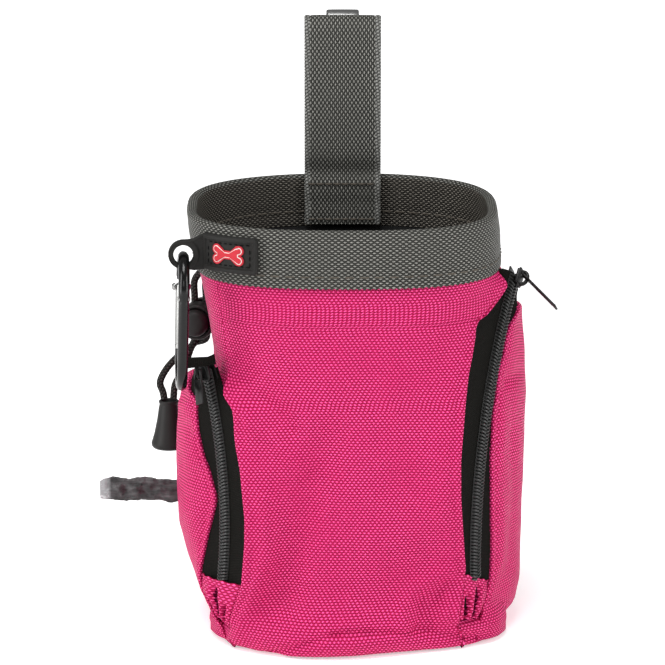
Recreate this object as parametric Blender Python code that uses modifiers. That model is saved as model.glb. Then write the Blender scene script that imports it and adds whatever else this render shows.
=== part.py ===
# Treat pouch for dog training: a nylon bag with a bound mouth, a belt loop with
# a spring clip, two zipped side pockets, a carabiner on a rubber patch, a
# drawstring with a cord lock, and a waste-bag roll in the left pocket.
#
# Units are metres; the tables below are in millimetres and scaled by MM.
# Frame: origin at the middle of the flat base, +Z up, the front faces -Y and
# the wearer's belt is at +Y.

import math

import bmesh
import bpy
from mathutils import Matrix, Vector

MM = 0.001

# ---------------------------------------------------------------- dimensions
RING = 44                 # points round the bag
WALL = 0.9                # nylon wall
LINING = 0.6
GAP = 0.35
RIM_MID_Z = 133.7         # mouth height, half way between front and rear
RIM_TILT = 1.8            # the rear rim stands this much higher, the front lower
BINDING_DROP = 17.5       # each leg of the folded rim webbing
BINDING_T = 0.8
BASE_T = 1.4
BASE_YAW = 6.0            # degrees: the bottom of the soft bag is twisted a little

STRAP_W = 25.0
STRAP_T = 1.3
STRAP_X = -1.0
STRAP_TOP = 188.0
STRAP_FRONT_Y = 36.2      # middle of the leg sewn inside the rear rim
STRAP_REAR_Y = 43.9       # middle of the leg sewn on the outside of the rear wall

CLIP_W = 10.6
CLIP_T = 1.0
CLIP_X = -1.0
RIVET_R = 1.2
RIVET_Z = (158.0, 174.0)

ROD_R = 1.6               # carabiner rod
CARA_HALF = 9.5           # half the width between rod centres
CARA_TOP = 122.0          # rod centre at the top of the bow
CARA_LOW = 80.6
CARA_XY = (-49.6, -33.9)
CARA_TURN = 4.8           # degrees about Z
CARA_LEAN = 1.5           # degrees, the foot hangs outwards
GATE_R = 1.75
GATE_PIN_Z = 110.9
GATE_LOW_Z = 91.4

HOLE_R = 3.0              # eyelet hole
HOLE_Z = 122.85

CORD_R = 1.35
GROMMET_AZ = 150.0
GROMMET_Z = 110.2
LOCK = (-46.8, 25.6, 90.6)
LOCK_TURN = -10.0         # degrees about Z
LOCK_R = 5.9
LOCK_LEN = 15.0
BELL_XY = (-57.2, 24.6)
BELL_Z = (47.7, 63.7)

ROLL_XY = (-35.6, 2.0)
ROLL_R = 11.4
ROLL_Z = (14.5, 72.0)
CORE_R = 5.2
TAIL_Y = ROLL_XY[1] + ROLL_R + 1.1
TAIL_Z = 36.0

ZIP_HALF = 6.2            # tape half width
ZIP_GAP = 0.75            # from the centre line to each tape's edge
LEFT_ZIP = ((-42.4, -30.4, 86.0), (-37.35, -35.7, 53.0), (-37.8, -35.2, 20.0))
RIGHT_ZIP = ((51.6, -15.0, 112.0), (41.7, -34.2, 67.5), (39.3, -36.4, 23.0))

# Outer surface of the wall at some heights:
# z, left, right, front, rear half-sizes, front-left, front-right, rear exponents
STATIONS = (
    (0.0, 37.0, 43.5, 42.0, 36.0, 3.0, 2.9, 2.8),
    (6.0, 39.0, 45.0, 44.5, 38.0, 2.9, 2.8, 2.7),
    (25.0, 40.5, 46.2, 46.0, 40.0, 2.8, 2.8, 2.5),
    (60.0, 41.0, 46.5, 46.0, 41.0, 2.8, 2.8, 2.4),
    (88.0, 41.5, 46.5, 45.5, 41.0, 2.9, 2.8, 2.4),
    (108.0, 44.5, 47.2, 45.0, 41.0, 3.2, 3.0, 2.5),
    (118.0, 46.5, 47.2, 44.5, 41.0, 3.2, 3.2, 2.5),
    (136.0, 49.0, 45.6, 44.0, 40.8, 3.2, 3.2, 2.5),
)
# Outer half-width of each pocket
LEFT_POCKET = (
    (3.2, 43.0), (6.0, 45.0), (12.0, 47.6), (21.0, 50.6), (31.0, 53.0),
    (41.0, 53.6), (53.0, 53.8), (65.0, 53.3), (72.0, 52.6), (78.0, 51.4), (82.0, 50.0),
)
RIGHT_POCKET = (
    (3.2, 49.5), (6.0, 51.8), (12.0, 53.2), (24.0, 54.3), (40.0, 55.2), (60.0, 56.2),
    (76.0, 56.7), (90.0, 56.2), (100.0, 55.4), (107.0, 55.0), (110.0, 54.6),
)
# Left side of the lining: it gives way to the roll in the left pocket
LINING_LEFT = ((0.0, 21.5), (76.0, 21.5), (84.0, 26.0), (96.0, 38.5), (104.0, 41.0), (118.0, 60.0), (140.0, 60.0))
# Inset of the lining from the wall's outer surface: a channel for the drawstring
CHANNEL = ((0.0, 1.3), (100.0, 1.3), (106.0, 5.1), (114.4, 5.1), (117.2, 1.3), (140.0, 1.3))

PINK = (0.68, 0.012, 0.13)
GREY = (0.12, 0.125, 0.115)
BLACK = (0.012, 0.012, 0.012)


# ------------------------------------------------------------------- helpers
def table(rows, z, column=1):
    """Value of a table's column at height z, with straight runs between rows."""
    if z <= rows[0][0]:
        return rows[0][column]
    for low, high in zip(rows, rows[1:]):
        if z <= high[0]:
            part = (z - low[0]) / (high[0] - low[0])
            return low[column] + part * (high[column] - low[column])
    return rows[-1][column]


def rim_z(az):
    return RIM_MID_Z + RIM_TILT * math.sin(math.radians(az))


def radius_of(az, half_x, half_y, power):
    c, s = abs(math.cos(math.radians(az))), abs(math.sin(math.radians(az)))
    return ((c / half_x) ** power + (s / half_y) ** power) ** (-1.0 / power)


def wall_radius(az, z, left=None):
    """Distance from the axis to the wall's outer surface."""
    z = max(0.0, z)
    fade = min(1.0, z / 85.0)
    az = (az - BASE_YAW * (1.0 - fade * fade * (3.0 - 2.0 * fade))) % 360.0
    west = 90.0 < az < 270.0
    south = az > 180.0
    half_x = table(STATIONS, z, 1 if west else 2)
    if west and left is not None:
        half_x = min(half_x, left)
    half_y = table(STATIONS, z, 3 if south else 4)
    power = table(STATIONS, z, (5 if west else 6) if south else 7)
    return radius_of(az, half_x, half_y, power)


def at(az, radius, z):
    return Vector((radius * math.cos(math.radians(az)), radius * math.sin(math.radians(az)), z)) * MM


def material(name, colour, rough, metal=0.0):
    found = bpy.data.materials.get(name)
    if found:
        return found
    made = bpy.data.materials.new(name)
    made.use_nodes = True
    shader = made.node_tree.nodes["Principled BSDF"]
    shader.inputs["Base Color"].default_value = (*colour, 1.0)
    shader.inputs["Roughness"].default_value = rough
    shader.inputs["Metallic"].default_value = metal
    return made


def add(name, mesh, mat, where=None, collection=None):
    """A named object in the parts collection."""
    thing = bpy.data.objects.new(name, mesh)
    if mat is not None:
        mesh.materials.append(mat)
    (collection or PARTS).objects.link(thing)
    if where is not None:
        thing.matrix_world = where
    return thing


def mesh_of(name, build):
    bm = bmesh.new()
    build(bm)
    mesh = bpy.data.meshes.new(name)
    bm.to_mesh(mesh)
    bm.free()
    return mesh


def grid(name, rows, closed, cap_first=False):
    """Open surface through rows of points; each row runs anticlockwise seen from
    above and the rows rise, so that its faces look outwards."""
    def build(bm):
        lines = [[bm.verts.new(p) for p in row] for row in rows]
        count = len(rows[0])
        for low, high in zip(lines, lines[1:]):
            for i in range(count if closed else count - 1):
                j = (i + 1) % count
                bm.faces.new((low[i], low[j], high[j], high[i]))
        if cap_first:
            bm.faces.new(list(reversed(lines[0])))
    return mesh_of(name, build)


def solidify(thing, thickness, offset=-1.0):
    mod = thing.modifiers.new("Thickness", "SOLIDIFY")
    mod.thickness = thickness * MM
    mod.offset = offset
    mod.use_even_offset = True
    mod.use_rim = True
    return mod


def cut(thing, cutter, operation="DIFFERENCE"):
    mod = thing.modifiers.new("Cut", "BOOLEAN")
    mod.operation = operation
    mod.object = cutter
    mod.solver = "EXACT"
    return mod


def helper(thing):
    thing.hide_render = True
    thing.display_type = "WIRE"
    return thing


def block(name, size, where, mat=None, collection=None, bevel=0.0):
    """Box with edges of the given size in mm, its centre at the matrix."""
    def build(bm):
        bmesh.ops.create_cube(bm, size=1.0)
        bmesh.ops.scale(bm, vec=Vector(size) * MM, verts=bm.verts)
        if bevel:
            bmesh.ops.bevel(bm, geom=bm.edges[:], offset=bevel * MM, segments=2, profile=0.5, affect="EDGES")
    return add(name, mesh_of(name, build), mat, where, collection)


def rod(name, radius, length, where, mat=None, collection=None, sides=20, top_radius=None):
    """Cylinder along the matrix's Z, its centre at the matrix."""
    def build(bm):
        bmesh.ops.create_cone(
            bm, cap_ends=True, segments=sides, radius1=radius * MM,
            radius2=(radius if top_radius is None else top_radius) * MM, depth=length * MM,
        )
    return add(name, mesh_of(name, build), mat, where, collection)


def turned(name, profile, where, mat, steps=28, closed=True):
    """Turned shape: profile points (r, z) in mm, down the outer side."""
    def build(bm):
        points = [bm.verts.new((r * MM, 0.0, z * MM)) for r, z in profile]
        for a, b in zip(points, points[1:]):
            bm.edges.new((a, b))
        if closed:
            bm.edges.new((points[-1], points[0]))
    thing = add(name, mesh_of(name, build), mat, where)
    mod = thing.modifiers.new("Turn", "SCREW")
    mod.axis = "Z"
    mod.angle = 2.0 * math.pi
    mod.steps = steps
    mod.render_steps = steps
    mod.use_merge_vertices = True
    mod.merge_threshold = 0.00001
    mod.use_smooth_shade = True
    return thing


def tube(name, points, radius, mat, resolution=2, cyclic=False):
    """Round cord or wire along points."""
    data = bpy.data.curves.new(name, "CURVE")
    data.dimensions = "3D"
    data.bevel_depth = radius * MM
    data.bevel_resolution = resolution
    data.use_fill_caps = not cyclic
    line = data.splines.new("POLY")
    line.points.add(len(points) - 1)
    for slot, p in zip(line.points, points):
        slot.co = (*p, 1.0)
    line.use_cyclic_u = cyclic
    thing = bpy.data.objects.new(name, data)
    data.materials.append(mat)
    PARTS.objects.link(thing)
    return thing


def to_mesh(thing):
    """The same object with its curve made a welded mesh, ready for a Boolean."""
    bpy.context.view_layer.update()
    graph = bpy.context.evaluated_depsgraph_get()
    mesh = bpy.data.meshes.new_from_object(thing.evaluated_get(graph))
    bm = bmesh.new()
    bm.from_mesh(mesh)
    bmesh.ops.remove_doubles(bm, verts=bm.verts, dist=0.00001)
    bmesh.ops.recalc_face_normals(bm, faces=bm.faces)
    bm.to_mesh(mesh)
    bm.free()
    name, where = thing.name, thing.matrix_world.copy()
    bpy.data.objects.remove(thing)
    made = bpy.data.objects.new(name, mesh)
    made.matrix_world = where
    PARTS.objects.link(made)
    return made


def smooth_path(anchors, count):
    """Evenly spread points on a Catmull-Rom curve through the anchors (mm)."""
    pts = [Vector(p) for p in anchors]
    pts = [pts[0] * 2 - pts[1]] + pts + [pts[-1] * 2 - pts[-2]]
    dense = []
    for a, b, c, d in zip(pts, pts[1:], pts[2:], pts[3:]):
        for k in range(40):
            t = k / 40.0
            dense.append(0.5 * ((2 * b) + (c - a) * t + (2 * a - 5 * b + 4 * c - d) * t * t + (3 * b - a - 3 * c + d) * t ** 3))
    dense.append(pts[-2])
    run = [0.0]
    for a, b in zip(dense, dense[1:]):
        run.append(run[-1] + (b - a).length)
    out = []
    k = 0
    for i in range(count):
        want = run[-1] * i / (count - 1)
        while k < len(run) - 2 and run[k + 1] < want:
            k += 1
        part = (want - run[k]) / max(1e-9, run[k + 1] - run[k])
        out.append((dense[k] + (dense[k + 1] - dense[k]) * min(1.0, part)) * MM)
    return out


def frame_at(origin, x_axis, y_axis, z_axis):
    m = Matrix.Identity(4)
    for column, axis in enumerate((x_axis, y_axis, z_axis)):
        for row in range(3):
            m[row][column] = axis[row]
    m.translation = Vector(origin) * MM
    return m


# --------------------------------------------------------------------- scene
for old in list(bpy.data.objects):
    bpy.data.objects.remove(old, do_unlink=True)

PARTS = bpy.data.collections.new("treat_pouch")
CUTTERS = bpy.data.collections.new("cutters")
bpy.context.scene.collection.children.link(PARTS)
bpy.context.scene.collection.children.link(CUTTERS)

nylon = material("pink_nylon", PINK, 0.55)
webbing = material("grey_webbing", GREY, 0.8)
black_cloth = material("black_cloth", BLACK, 0.9)
black_coat = material("black_lacquer", BLACK, 0.25, 0.3)
plastic = material("black_plastic", BLACK, 0.5)
steel = material("bright_steel", (0.6, 0.62, 0.63), 0.3, 1.0)
rubber = material("black_rubber", (0.03, 0.03, 0.03), 0.7)
red = material("red_rubber", (0.5, 0.03, 0.04), 0.5)
film = material("waste_film", (0.04, 0.04, 0.045), 0.35)
card = material("card", (0.35, 0.25, 0.16), 0.9)
spring_steel = material("spring_steel", (0.5, 0.5, 0.5), 0.35, 1.0)

angles = [360.0 * i / RING for i in range(RING)]

# ---------------------------------------------------------------- outer wall
WALL_LOW = BASE_T + 0.4
rows = []
for level in (0.0, 0.035, 0.16, 0.4, 0.63, 0.8, 0.88, 1.0):
    row = []
    for az in angles:
        z = WALL_LOW + level * (rim_z(az) - 1.6 - WALL_LOW)
        row.append(at(az, wall_radius(az, z), z))
    rows.append(row)
wall = add("outer_wall", grid("outer_wall", rows, True), nylon)
solidify(wall, WALL)

# Where the roll sits, the wall has a window between the pocket and the bag
window = helper(block("roll_window", (30.0, 34.0, 62.0), Matrix.Translation(Vector((-44.0, 2.0, 43.2)) * MM), collection=CUTTERS))
cut(wall, window)

# ----------------------------------------------------------------- base panel
base = add("base_panel", grid("base_panel", [
    [at(az, wall_radius(az, 0.0) - 0.6, 0.0) for az in angles],
    [at(az, wall_radius(az, 1.0) - 0.3, BASE_T) for az in angles],
], True, cap_first=True), nylon)
top_cap = bmesh.new()
top_cap.from_mesh(base.data)
bmesh.ops.holes_fill(top_cap, edges=top_cap.edges, sides=0)
bmesh.ops.recalc_face_normals(top_cap, faces=top_cap.faces)
top_cap.to_mesh(base.data)
top_cap.free()

# --------------------------------------------------------------------- lining
rows = []
for z in (3.0, 8.0, 40.0, 76.0, 84.0, 94.0, 100.0, 106.0, 114.4, 117.2, 132.1):
    row = []
    for az in angles:
        level = z + 0.0
        height = z + (rim_z(az) - RIM_MID_Z) * min(1.0, max(0.0, (z - 90.0) / 20.0))
        reach = wall_radius(az, height, left=table(LINING_LEFT, level)) - table(CHANNEL, level)
        row.append(at(az, reach, height))
    rows.append(row)
lining = add("lining", grid("lining", rows, True, cap_first=True), black_cloth)
solidify(lining, LINING)

# ---------------------------------------------------------------- rim binding
def binding(bm):
    """Folded webbing: one closed section at each angle, joined round the mouth."""
    rings = []
    out, inn = BINDING_T + GAP, -(1.3 + LINING + GAP)
    for az in angles:
        top = rim_z(az)
        low = top - BINDING_DROP
        section = []
        for off, z in (
            (out, low), (out, low + 8.5), (out, top - 1.0), (out - 0.9, top),
            (inn - BINDING_T + 0.9, top), (inn - BINDING_T, top - 1.0), (inn - BINDING_T, low + 8.5), (inn - BINDING_T, low + 2.4),
            (inn, low + 2.4), (inn, low + 8.5), (inn, top - 1.2), (GAP, top - 1.2), (GAP, low + 8.5), (GAP, low),
        ):
            section.append(bm.verts.new(at(az, wall_radius(az, z) + off, z)))
        rings.append(section)
    count = len(rings[0])
    for a, b in zip(rings, rings[1:] + rings[:1]):
        for i in range(count):
            j = (i + 1) % count
            bm.faces.new((a[i], b[i], b[j], a[j]))
    bmesh.ops.recalc_face_normals(bm, faces=bm.faces)


rim = add("rim_binding", mesh_of("rim_binding", binding), webbing)

# ----------------------------------------------------------------- belt strap
def strap_line():
    """Middle of the strap in Y and Z, up the front leg, over, down the rear leg."""
    mid = (STRAP_FRONT_Y + STRAP_REAR_Y) / 2
    half = (STRAP_REAR_Y - STRAP_FRONT_Y) / 2
    centre = STRAP_TOP - STRAP_T / 2 - half
    line = [(STRAP_FRONT_Y, z) for z in (119.6, 127.0, 136.0, 150.0, 165.0)]
    for k in range(9):
        a = math.pi * (1.0 - k / 8.0)
        line.append((mid + half * math.cos(a), centre + half * math.sin(a)))
    line += [(STRAP_REAR_Y, z) for z in (165.0, 150.0, 136.0, 118.0, 100.0)]
    return line


line = strap_line()
strap = add("belt_strap", grid("belt_strap", [
    [Vector((STRAP_X - STRAP_W / 2, y, z)) * MM for y, z in line],
    [Vector((STRAP_X + STRAP_W / 2, y, z)) * MM for y, z in line],
], False), webbing)
solidify(strap, STRAP_T, 0.0)

# Spring clip behind the strap: front leg riveted to the strap, bend over the
# top, tongue down behind with a flared tip
leg_y = STRAP_REAR_Y + STRAP_T / 2 + GAP + CLIP_T / 2
bend = 3.9
clip_line = [(leg_y, z) for z in (150.5, 158.0, 166.0, 174.0, 184.9)]
for k in range(1, 8):
    a = math.pi * (1.0 - k / 8.0)
    clip_line.append((leg_y + bend + bend * math.cos(a), 184.9 + bend * math.sin(a)))
clip_line += [(leg_y + 2 * bend, 184.9), (leg_y + 2 * bend, 165.0), (leg_y + 2 * bend - 1.6, 146.0), (leg_y + 2 * bend - 2.4, 135.0), (leg_y + 2 * bend + 0.4, 128.5)]
clip = add("belt_clip", grid("belt_clip", [
    [Vector((CLIP_X - CLIP_W / 2, y, z)) * MM for y, z in clip_line],
    [Vector((CLIP_X + CLIP_W / 2, y, z)) * MM for y, z in clip_line],
], False), steel)
solidify(clip, CLIP_T, 0.0)

turn_y = Matrix.Rotation(math.radians(-90.0), 4, "X")  # local Z to world +Y
for name, z in (("clip_rivet_lower", RIVET_Z[0]), ("clip_rivet_upper", RIVET_Z[1])):
    hole = helper(rod("hole_" + name, RIVET_R + 0.3, 8.0, Matrix.Translation(Vector((CLIP_X, STRAP_REAR_Y + 1.0, z)) * MM) @ turn_y, collection=CUTTERS, sides=16))
    cut(strap, hole)
    cut(clip, hole)
    inner = -(STRAP_T / 2 + GAP)
    outer = STRAP_T / 2 + GAP + CLIP_T + GAP
    turned(name, [
        (0.0, outer + 0.7), (1.7, outer + 0.55), (2.4, outer), (RIVET_R, outer), (RIVET_R, inner), (2.3, inner), (2.1, inner - 0.5), (0.0, inner - 0.6),
    ], Matrix.Translation(Vector((CLIP_X, STRAP_REAR_Y, z)) * MM) @ turn_y, steel, steps=16, closed=False)

# ------------------------------------------------------------- eyelet patch
# A rubber moulding on the rim's front left corner: a framed plate that follows
# the rim, then a flat tab that stands off the corner and ends in an eyelet.
PATCH_LOW, PATCH_HIGH = 117.7, 130.4
PATCH_T = 1.7
eye = Vector((CARA_XY[0], CARA_XY[1], 0.0))
curve_az = [238.6 - 2.9 * k for k in range(8)]
flat_line = []
for az in curve_az:
    flat_line.append(Vector((0, 0, 0)) + at(az, wall_radius(az, 124.0) + BINDING_T + 2 * GAP + 0.35, 0.0) / MM)
start = flat_line[-1]
tab_dir = (eye - start).normalized()
tab_len = (eye - start).length
run = tab_len
steps_tab = 14
reach = tab_len + 4.5
columns = [(p, PATCH_LOW, PATCH_HIGH) for p in flat_line]
for k in range(1, steps_tab + 1):
    s = reach * k / steps_tab
    if k == steps_tab:
        s = reach - 0.04
    x = s - tab_len
    if x > -3.2:
        span = math.sqrt(max(0.01, 4.5 ** 2 - x * x)) if x > 0 else 4.5 + 0.35 * (x / 3.2) ** 2
        low, high = HOLE_Z - span, HOLE_Z + span
    else:
        mix = (s / max(0.1, tab_len - 3.2)) ** 1.3
        low = PATCH_LOW + mix * (HOLE_Z - 4.85 - PATCH_LOW)
        high = PATCH_HIGH + mix * (HOLE_Z + 4.85 - PATCH_HIGH)
    columns.append((start + tab_dir * s, low, high))
patch_rows = []
for part in range(5):
    f = part / 4.0
    patch_rows.append([Vector((p.x, p.y, low + f * (high - low))) * MM for p, low, high in reversed(columns)])
patch = add("eyelet_patch", grid("eyelet_patch", patch_rows, False), rubber)
solidify(patch, PATCH_T, 1.0)
tab_normal = Vector((tab_dir.y, -tab_dir.x, 0.0))
if tab_normal.y > 0:
    tab_normal.negate()
side = Vector((0, 0, 1)).cross(tab_normal)
eye_cut = helper(rod("eyelet_hole", HOLE_R, 8.0, frame_at((eye.x, eye.y, HOLE_Z), side, tab_normal.cross(side), tab_normal), collection=CUTTERS, sides=24))
cut(patch, eye_cut)

# Emblem: a little bone, moulded separately and bonded on the plate's flat
front_a = flat_line[0]
front_b = flat_line[-2]
plate_dir = (front_b - front_a).normalized()
plate_normal = Vector((plate_dir.y, -plate_dir.x, 0.0))
if plate_normal.y > 0:
    plate_normal.negate()
bulge = max((p - front_a).dot(plate_normal) for p in flat_line[:-1])
centre = (front_a + front_b) / 2 + plate_normal * (bulge + PATCH_T + GAP + 0.35 - (front_a + front_b).dot(plate_normal) / 2 + front_a.dot(plate_normal))


def bone(bm):
    outline = []
    for end in (1, -1):
        for lobe in (1, -1):
            cx, cy = 4.2 * end, 1.75 * lobe * end
            outline.append((cx, cy))
    points = []
    n = 72
    for k in range(n):
        a = 2 * math.pi * k / n
        c, s = math.cos(a), math.sin(a)
        # farthest crossing of the ray with four lobes and the shaft
        best = 0.0
        for cx, cy in outline:
            b = c * cx + s * cy
            d = b * b - (cx * cx + cy * cy - 1.85 ** 2)
            if d > 0:
                best = max(best, b + math.sqrt(d))
        hx = 4.6 / abs(c) if abs(c) > 1e-6 else 1e9
        hy = 1.55 / abs(s) if abs(s) > 1e-6 else 1e9
        best = max(best, min(hx, hy))
        points.append((best * c, best * s))
    top = [bm.verts.new((x * MM, y * MM, 0.35 * MM)) for x, y in points]
    low = [bm.verts.new((x * MM, y * MM, -0.35 * MM)) for x, y in points]
    bm.faces.new(top)
    bm.faces.new(list(reversed(low)))
    for i in range(n):
        j = (i + 1) % n
        bm.faces.new((low[i], low[j], top[j], top[i]))


plate_side = Vector((0, 0, 1)).cross(plate_normal)
add("patch_emblem", mesh_of("patch_emblem", bone), red, frame_at((centre.x, centre.y, (PATCH_LOW + PATCH_HIGH) / 2), plate_side, Vector((0, 0, 1)), plate_normal))

# ------------------------------------------------------------------ carabiner
cara = bpy.data.objects.new("carabiner_pivot", None)
PARTS.objects.link(cara)
# local X runs from the near side to the far side, local Z up, local Y is the plane's normal
far = Vector((-math.sin(math.radians(CARA_TURN)), math.cos(math.radians(CARA_TURN)), 0.0))
up = Matrix.Rotation(math.radians(CARA_LEAN), 3, far) @ Vector((0, 0, 1))
flat = up.cross(far)
CARA_M = frame_at((CARA_XY[0], CARA_XY[1], CARA_TOP), far, flat, up)
cara.matrix_world = CARA_M


def low(z):
    """Height in the carabiner's own frame, whose zero is the bow's top."""
    return z - CARA_TOP


path = []
bow = CARA_HALF
top_c = low(CARA_TOP - bow)
bottom_c = low(CARA_LOW + bow)
for k in range(15):
    a = math.radians(-4.0 + 184.0 * k / 14.0) if k else math.radians(6.0)
    path.append((bow * math.cos(a), top_c + bow * math.sin(a)))
for k in range(1, 4):
    path.append((-bow, top_c + (bottom_c - top_c) * k / 4.0))
for k in range(14):
    a = math.radians(180.0 + 180.0 * k / 13.0)
    path.append((bow * math.cos(a), bottom_c + bow * math.sin(a)))
path.append((bow, low(GATE_LOW_Z - 0.5)))
body_curve = tube("carabiner_body", [Vector((x, 0.0, z)) * MM for x, z in path], ROD_R, black_coat)
body_curve.matrix_world = CARA_M
cara_body = to_mesh(body_curve)
cara_body.data.materials.clear()
cara_body.data.materials.append(black_coat)
tongue = helper(block("gate_tongue", (2.3, 1.1, 5.6), CARA_M @ Matrix.Translation(Vector((bow, 0, low(GATE_PIN_Z + 1.5))) * MM), collection=CUTTERS))
cut(cara_body, tongue, "UNION")
lay = Matrix.Rotation(math.radians(-90.0), 4, "X")
pin_m = CARA_M @ Matrix.Translation(Vector((bow, 0, low(GATE_PIN_Z))) * MM) @ lay
pin_hole = helper(rod("pin_hole", 0.72, 12.0, pin_m, collection=CUTTERS, sides=16))
cut(cara_body, pin_hole)

gate_top = low(GATE_PIN_Z + 1.2)
gate_low = low(GATE_LOW_Z)
gate = rod("carabiner_gate", GATE_R, gate_top - gate_low, CARA_M @ Matrix.Translation(Vector((bow, 0, (gate_top + gate_low) / 2)) * MM), steel, sides=20)
fork = helper(block("gate_fork", (6.0, 1.75, 5.4), CARA_M @ Matrix.Translation(Vector((bow, 0, gate_top - 1.6)) * MM), collection=CUTTERS))
cut(gate, fork)
cut(gate, pin_hole)
bore = helper(rod("gate_bore", 1.0, 12.0, CARA_M @ Matrix.Translation(Vector((bow, 0, gate_top - 4.0 - 5.5)) * MM), collection=CUTTERS, sides=14))
cut(gate, bore)
turned("gate_pin", [
    (0.0, 2.75), (0.8, 2.65), (1.05, 2.3), (1.05, 2.1), (0.58, 2.1), (0.58, -2.1), (1.05, -2.1), (1.05, -2.3), (0.8, -2.65), (0.0, -2.75),
], pin_m, steel, steps=16, closed=False)
coil = []
for k in range(6 * 8 + 1):
    a = 2 * math.pi * k / 8.0
    coil.append(Vector((bow + 0.62 * math.cos(a), 0.62 * math.sin(a), gate_top - 14.8 + 9.6 * k / 48.0)) * MM)
gate_spring = tube("gate_spring", coil, 0.16, spring_steel, resolution=0)
gate_spring.matrix_world = CARA_M

# -------------------------------------------------------------- side pockets
def pocket(name, silhouette, start_of, end, power, half_front, half_rear, mat):
    """Bulging panel from its zip round to its rear seam; the top row turns in."""
    count = 15
    levels = [row[0] for row in silhouette]
    rows = []
    for z in levels + [levels[-1] + 1.6]:
        row = []
        capped = z > levels[-1]
        start = start_of(min(z, levels[-1]))
        for k in range(count):
            az = start + (end - start) * k / (count - 1.0)
            south = (az % 360.0) > 180.0
            half_x = table(silhouette, min(z, levels[-1]))
            r = radius_of(az, half_x, half_front if south else half_rear, power if south else 2.0)
            clear = wall_radius(az, z) + 0.55 + 1.0
            r = max(r, clear)
            if capped:
                r = max(clear, r - 4.5)
            row.append(at(az, r, z))
        rows.append(row)
    return rows


def left_start(z):
    return table(((3.2, 214.0), (20.0, 214.6), (53.0, 215.4), (72.0, 211.5), (82.0, 207.6)), z)


def right_start(z):
    return table(((3.2, -33.5), (23.0, -34.0), (45.0, -33.5), (67.5, -30.5), (90.0, -19.5), (107.0, -9.5), (110.0, -8.0)), z)


rows = pocket("left", LEFT_POCKET, left_start, 136.0, 2.2, 47.0, 40.0, nylon)
left_pocket = add("left_pocket_panel", grid("left_pocket_panel", [list(reversed(r)) for r in rows], False), nylon)
solidify(left_pocket, 1.0)
rows = pocket("right", RIGHT_POCKET, right_start, 38.0, 2.0, 47.0, 40.0, nylon)
right_pocket = add("right_pocket_panel", grid("right_pocket_panel", rows, False), nylon)
solidify(right_pocket, 1.0)

# ------------------------------------------------------------------ zips
def circle(points):
    """Centre, radius, axis and frame of the arc through three points (mm)."""
    a, b, c = (Vector(p) for p in points)
    ab, ac = b - a, c - a
    axis = ab.cross(ac)
    n = axis.normalized()
    centre = a + (ab.length_squared * ac.cross(axis) + ac.length_squared * axis.cross(ab)) / (2.0 * axis.length_squared)
    return centre, (a - centre).length, n


def zipper(prefix, points, outward):
    """Two tapes, two coils, a slider and its puller on a flat curved track."""
    centre, radius, axis = circle(points)
    if axis.dot(Vector(outward)) < 0:
        axis = -axis
    first = (Vector(points[0]) - centre).normalized()
    last = (Vector(points[2]) - centre).normalized()
    sweep = first.angle(last)
    turn = 1.0 if first.cross(last).dot(axis) > 0 else -1.0

    def spot(angle, across, lift):
        ray = Matrix.Rotation(turn * angle, 3, axis) @ first
        return centre + ray * (radius + across) + axis * lift

    def bar(name, inner, outer, low_l, high_l, begin, end, mat, count=14):
        def build(bm):
            sections = []
            for k in range(count + 1):
                angle = begin + (end - begin) * k / count
                sections.append([bm.verts.new(spot(angle, w, h) * MM) for w, h in ((inner, low_l), (outer, low_l), (outer, high_l), (inner, high_l))])
            for p, q in zip(sections, sections[1:]):
                for i in range(4):
                    j = (i + 1) % 4
                    bm.faces.new((p[i], p[j], q[j], q[i]))
            bm.faces.new(sections[0])
            bm.faces.new(list(reversed(sections[-1])))
            bmesh.ops.recalc_face_normals(bm, faces=bm.faces)
        return add(name, mesh_of(name, build), mat)

    over = 3.0 / radius
    for word, sign in (("inner", -1.0), ("outer", 1.0)):
        bar(f"{prefix}_zip_tape_{word}", sign * ZIP_GAP, sign * ZIP_HALF, -0.25, 0.25, -over, sweep + over * 0.5, black_cloth)
        bar(f"{prefix}_zip_coil_{word}", sign * (ZIP_GAP + 0.05), sign * 2.9, 0.55, 1.7, -over * 0.3, sweep, plastic)

    # Slider: plates above and below, joined by a post that runs between the tapes
    here = spot(0.0, 0.0, 0.0)
    ray = first
    along = axis.cross(ray)
    m = frame_at(here, ray, along, axis)
    slider = block(f"{prefix}_zip_slider", (7.0, 8.6, 0.85), m @ Matrix.Translation(Vector((0, 0, 2.45)) * MM), black_coat, bevel=0.25)
    foot = helper(block(f"{prefix}_slider_foot", (7.0, 8.6, 0.8), m @ Matrix.Translation(Vector((0, 0, -1.05)) * MM), collection=CUTTERS, bevel=0.2))
    post = helper(block(f"{prefix}_slider_post", (0.8, 2.4, 3.6), m @ Matrix.Translation(Vector((0, 0, 0.7)) * MM), collection=CUTTERS))
    lug = helper(block(f"{prefix}_slider_lug", (1.5, 4.4, 2.3), m @ Matrix.Translation(Vector((0, 0, 3.8)) * MM), collection=CUTTERS, bevel=0.2))
    eye_hole = helper(rod(f"{prefix}_lug_hole", 0.85, 8.0, m @ Matrix.Translation(Vector((0, 0, 3.85)) * MM) @ Matrix.Rotation(math.radians(90), 4, "Y"), collection=CUTTERS, sides=16))
    for other in (foot, post, lug):
        cut(slider, other, "UNION")
    cut(slider, eye_hole)
    return m, centre, radius, axis, sweep


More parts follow.
